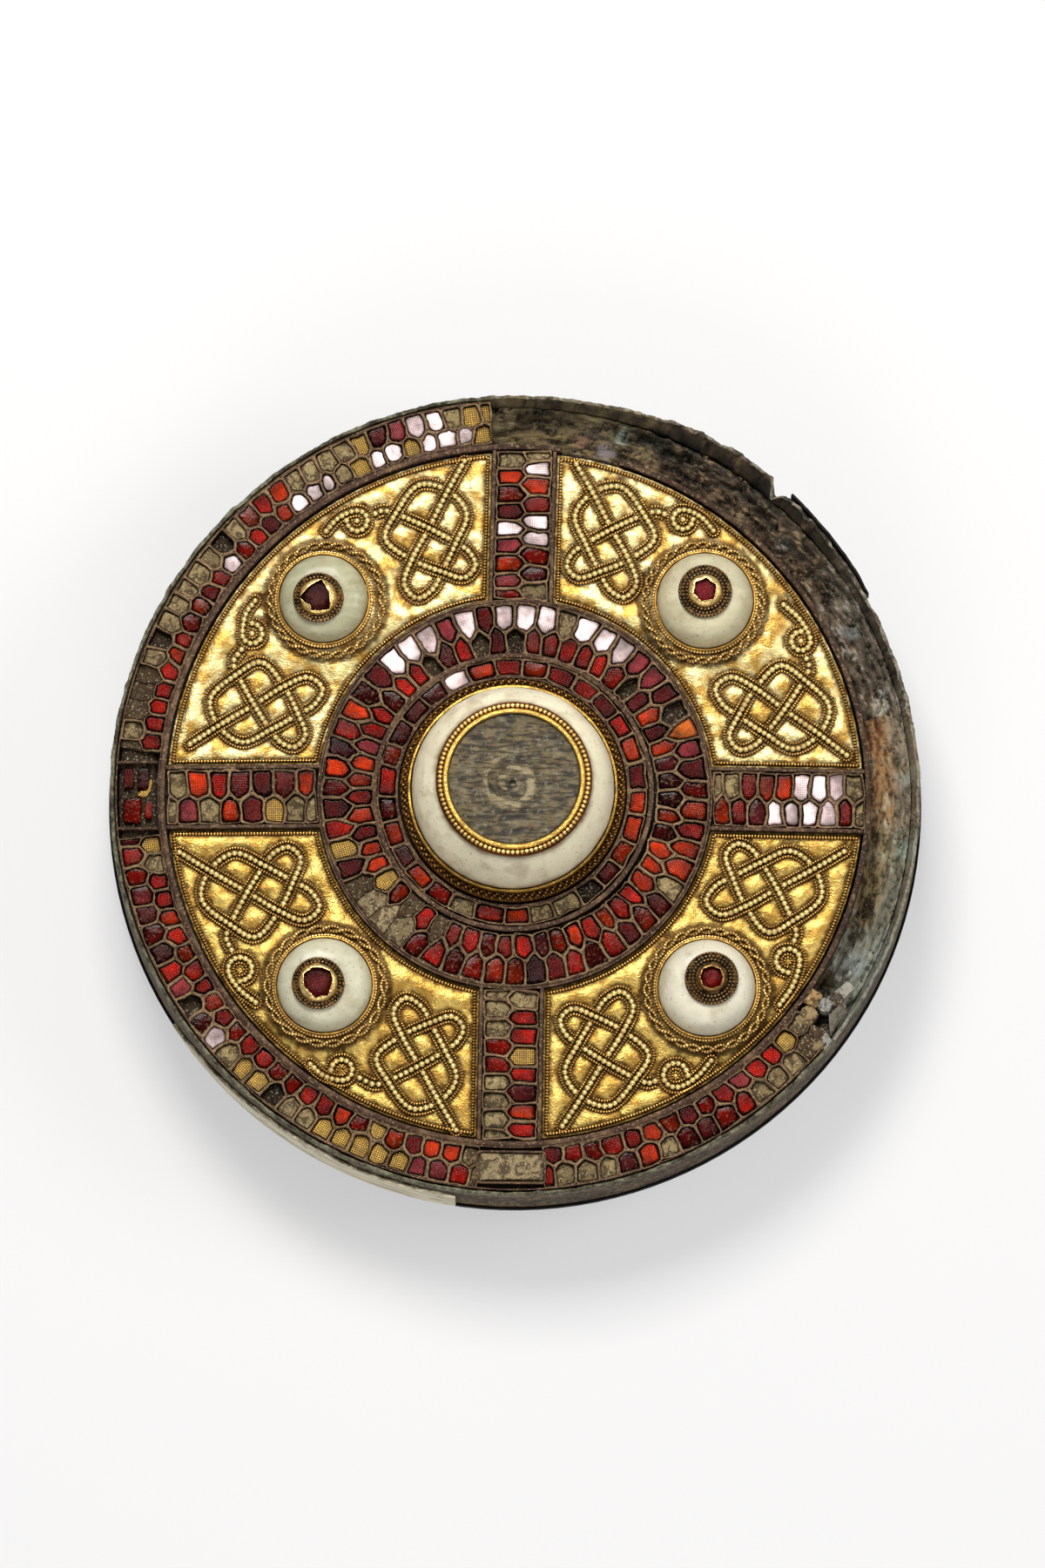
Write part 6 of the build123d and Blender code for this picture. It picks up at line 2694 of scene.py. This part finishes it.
    def disc(self) -> Form:
        """Builds the dark disc with its raised swirls, a dark crescent and its small hole.

        Returns:
            The disc.
        """
        form = Form()
        radii = [self.disc_radius, self.disc_radius, 6.3]
        radii += [6.2 - 0.1 * step for step in range(59)] + [self.disc_hole + 0.02, self.disc_hole]
        last, count = len(radii) - 1, self.disc_steps
        kx, ky = self.crescent_middle
        loops = []
        for number, radius in enumerate(radii):
            share = 1 - radius / radii[0]
            mx, my = (top + drift * share for top, drift in zip(self.top_middle, self.disc_drift))
            loop = []
            for px, py in (polar(radius, 360 * step / count) for step in range(count)):
                x, y = px + mx, py + my
                relief = self.relief(x, y)
                height = self.ring_top - 0.4 + (relief if 1 < number < last else 0.0)
                tone = blended(pigment(46, 42, 36), pigment(166, 152, 118), smooth(relief, -0.1, 0.24))
                crescent = 1 - smooth(abs(math.dist((x, y), (kx, ky)) - self.crescent_radius), 0.1, 0.4)
                turn = abs(signed(heading(x - kx, y - ky) - self.crescent_angle))
                tone = blended(tone, pigment(20, 20, 22), 0.95 * crescent * (1 - smooth(turn, 34, 60)))
                place = (x, y, self.ring_foot + 0.03 if number in (0, last) else height)
                loop.append(form.point(place, shaded(tone, 1.0), (x, y)))
            loops.append(loop)
        form.stack(loops, round_trip=True)
        return form

    def build(self) -> None:
        """Builds and dresses the boss."""
        self.shop.fit("centre_collar_gold", self.collar(), "gold", "gold", ["centre_collar"])
        self.shop.fit("centre_shell_worn", self.shell(), "shell", "shell", ["centre_shell"], 0.0)
        self.shop.fit("centre_ring_gold", self.top_ring(), "gold", "gold", ["centre_ring"])
        self.shop.fit("centre_disc_worn", self.disc(), "dark_disc", "dark_disc", ["centre_disc"], 0.0)
        strands = rope(self.foot_middle, self.rope_radius, self.gauge.bed + 1.4, self.rope_strand,
                       self.rope_turns)
        self.shop.string("centre_rope", strands, self.rope_wire, "dark_wire")
        beads = [ring_line(self.top_middle, 7.22, self.ring_foot + 0.62)]
        self.shop.string("centre_ring_beads", beads, self.ring_wire, "rope_wire")


QUADRANTS: dict[str, tuple[float, float, tuple[int, int]]] = {
    "upper_right": (-1.2, 88.4, (1, 1)), "upper_left": (88.4, 180.5, (-1, 1)),
    "lower_left": (180.5, 269.0, (-1, -1)), "lower_right": (269.0, 358.8, (1, -1)),
}


def foot_and_top(node: str) -> Flat:
    """Levels of a CAD node's foot and top."""
    low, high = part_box(node)
    return low[2] / MM, high[2] / MM


def dress_frame(nodes: dict[str, Any], material: Material) -> None:
    """Gives the CAD pieces that stay their material.

    Args:
        nodes: the frame's nodes by name.
        material: their finish.
    """
    for name in ("back_plate", "pin_fitting"):
        node = nodes[name]
        piece = node if isinstance(node, bpy.types.Object) else bpy.data.objects[name]
        for slot in piece.material_slots:
            slot.material = material
        LOG.info("%s keeps its CAD shape", name)


def main() -> None:
    """Builds the brooch in order."""
    logging.basicConfig(level=logging.INFO, format="%(name)s: %(message)s")
    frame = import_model()
    finishes = {finish.name: finish.material() for finish in (*PATINAS, *BRIGHT_FINISHES)}
    shop = Workshop(Gauge.read(), finishes, Strung())
    Studio().build()
    Camera().place()
    case = Case(shop)
    case.build()
    Rings(shop, case).build()
    for name, (first, second, signs) in QUADRANTS.items():
        panel = Panel(shop, name, first, second, signs)
        panel.build()
        SmallBoss(shop, name, BOSSES[name], shop.gauge.bed + panel.sheet,
                  foot_and_top("shell_boss_" + name)[1], *foot_and_top("boss_cap_" + name)).build()
    CentreBoss(shop, foot_and_top("centre_shell")[1], *foot_and_top("centre_ring")).build()
    dress_frame(frame["nodes"], finishes["corroded_bronze"])


if __name__ == "__main__":
    main()
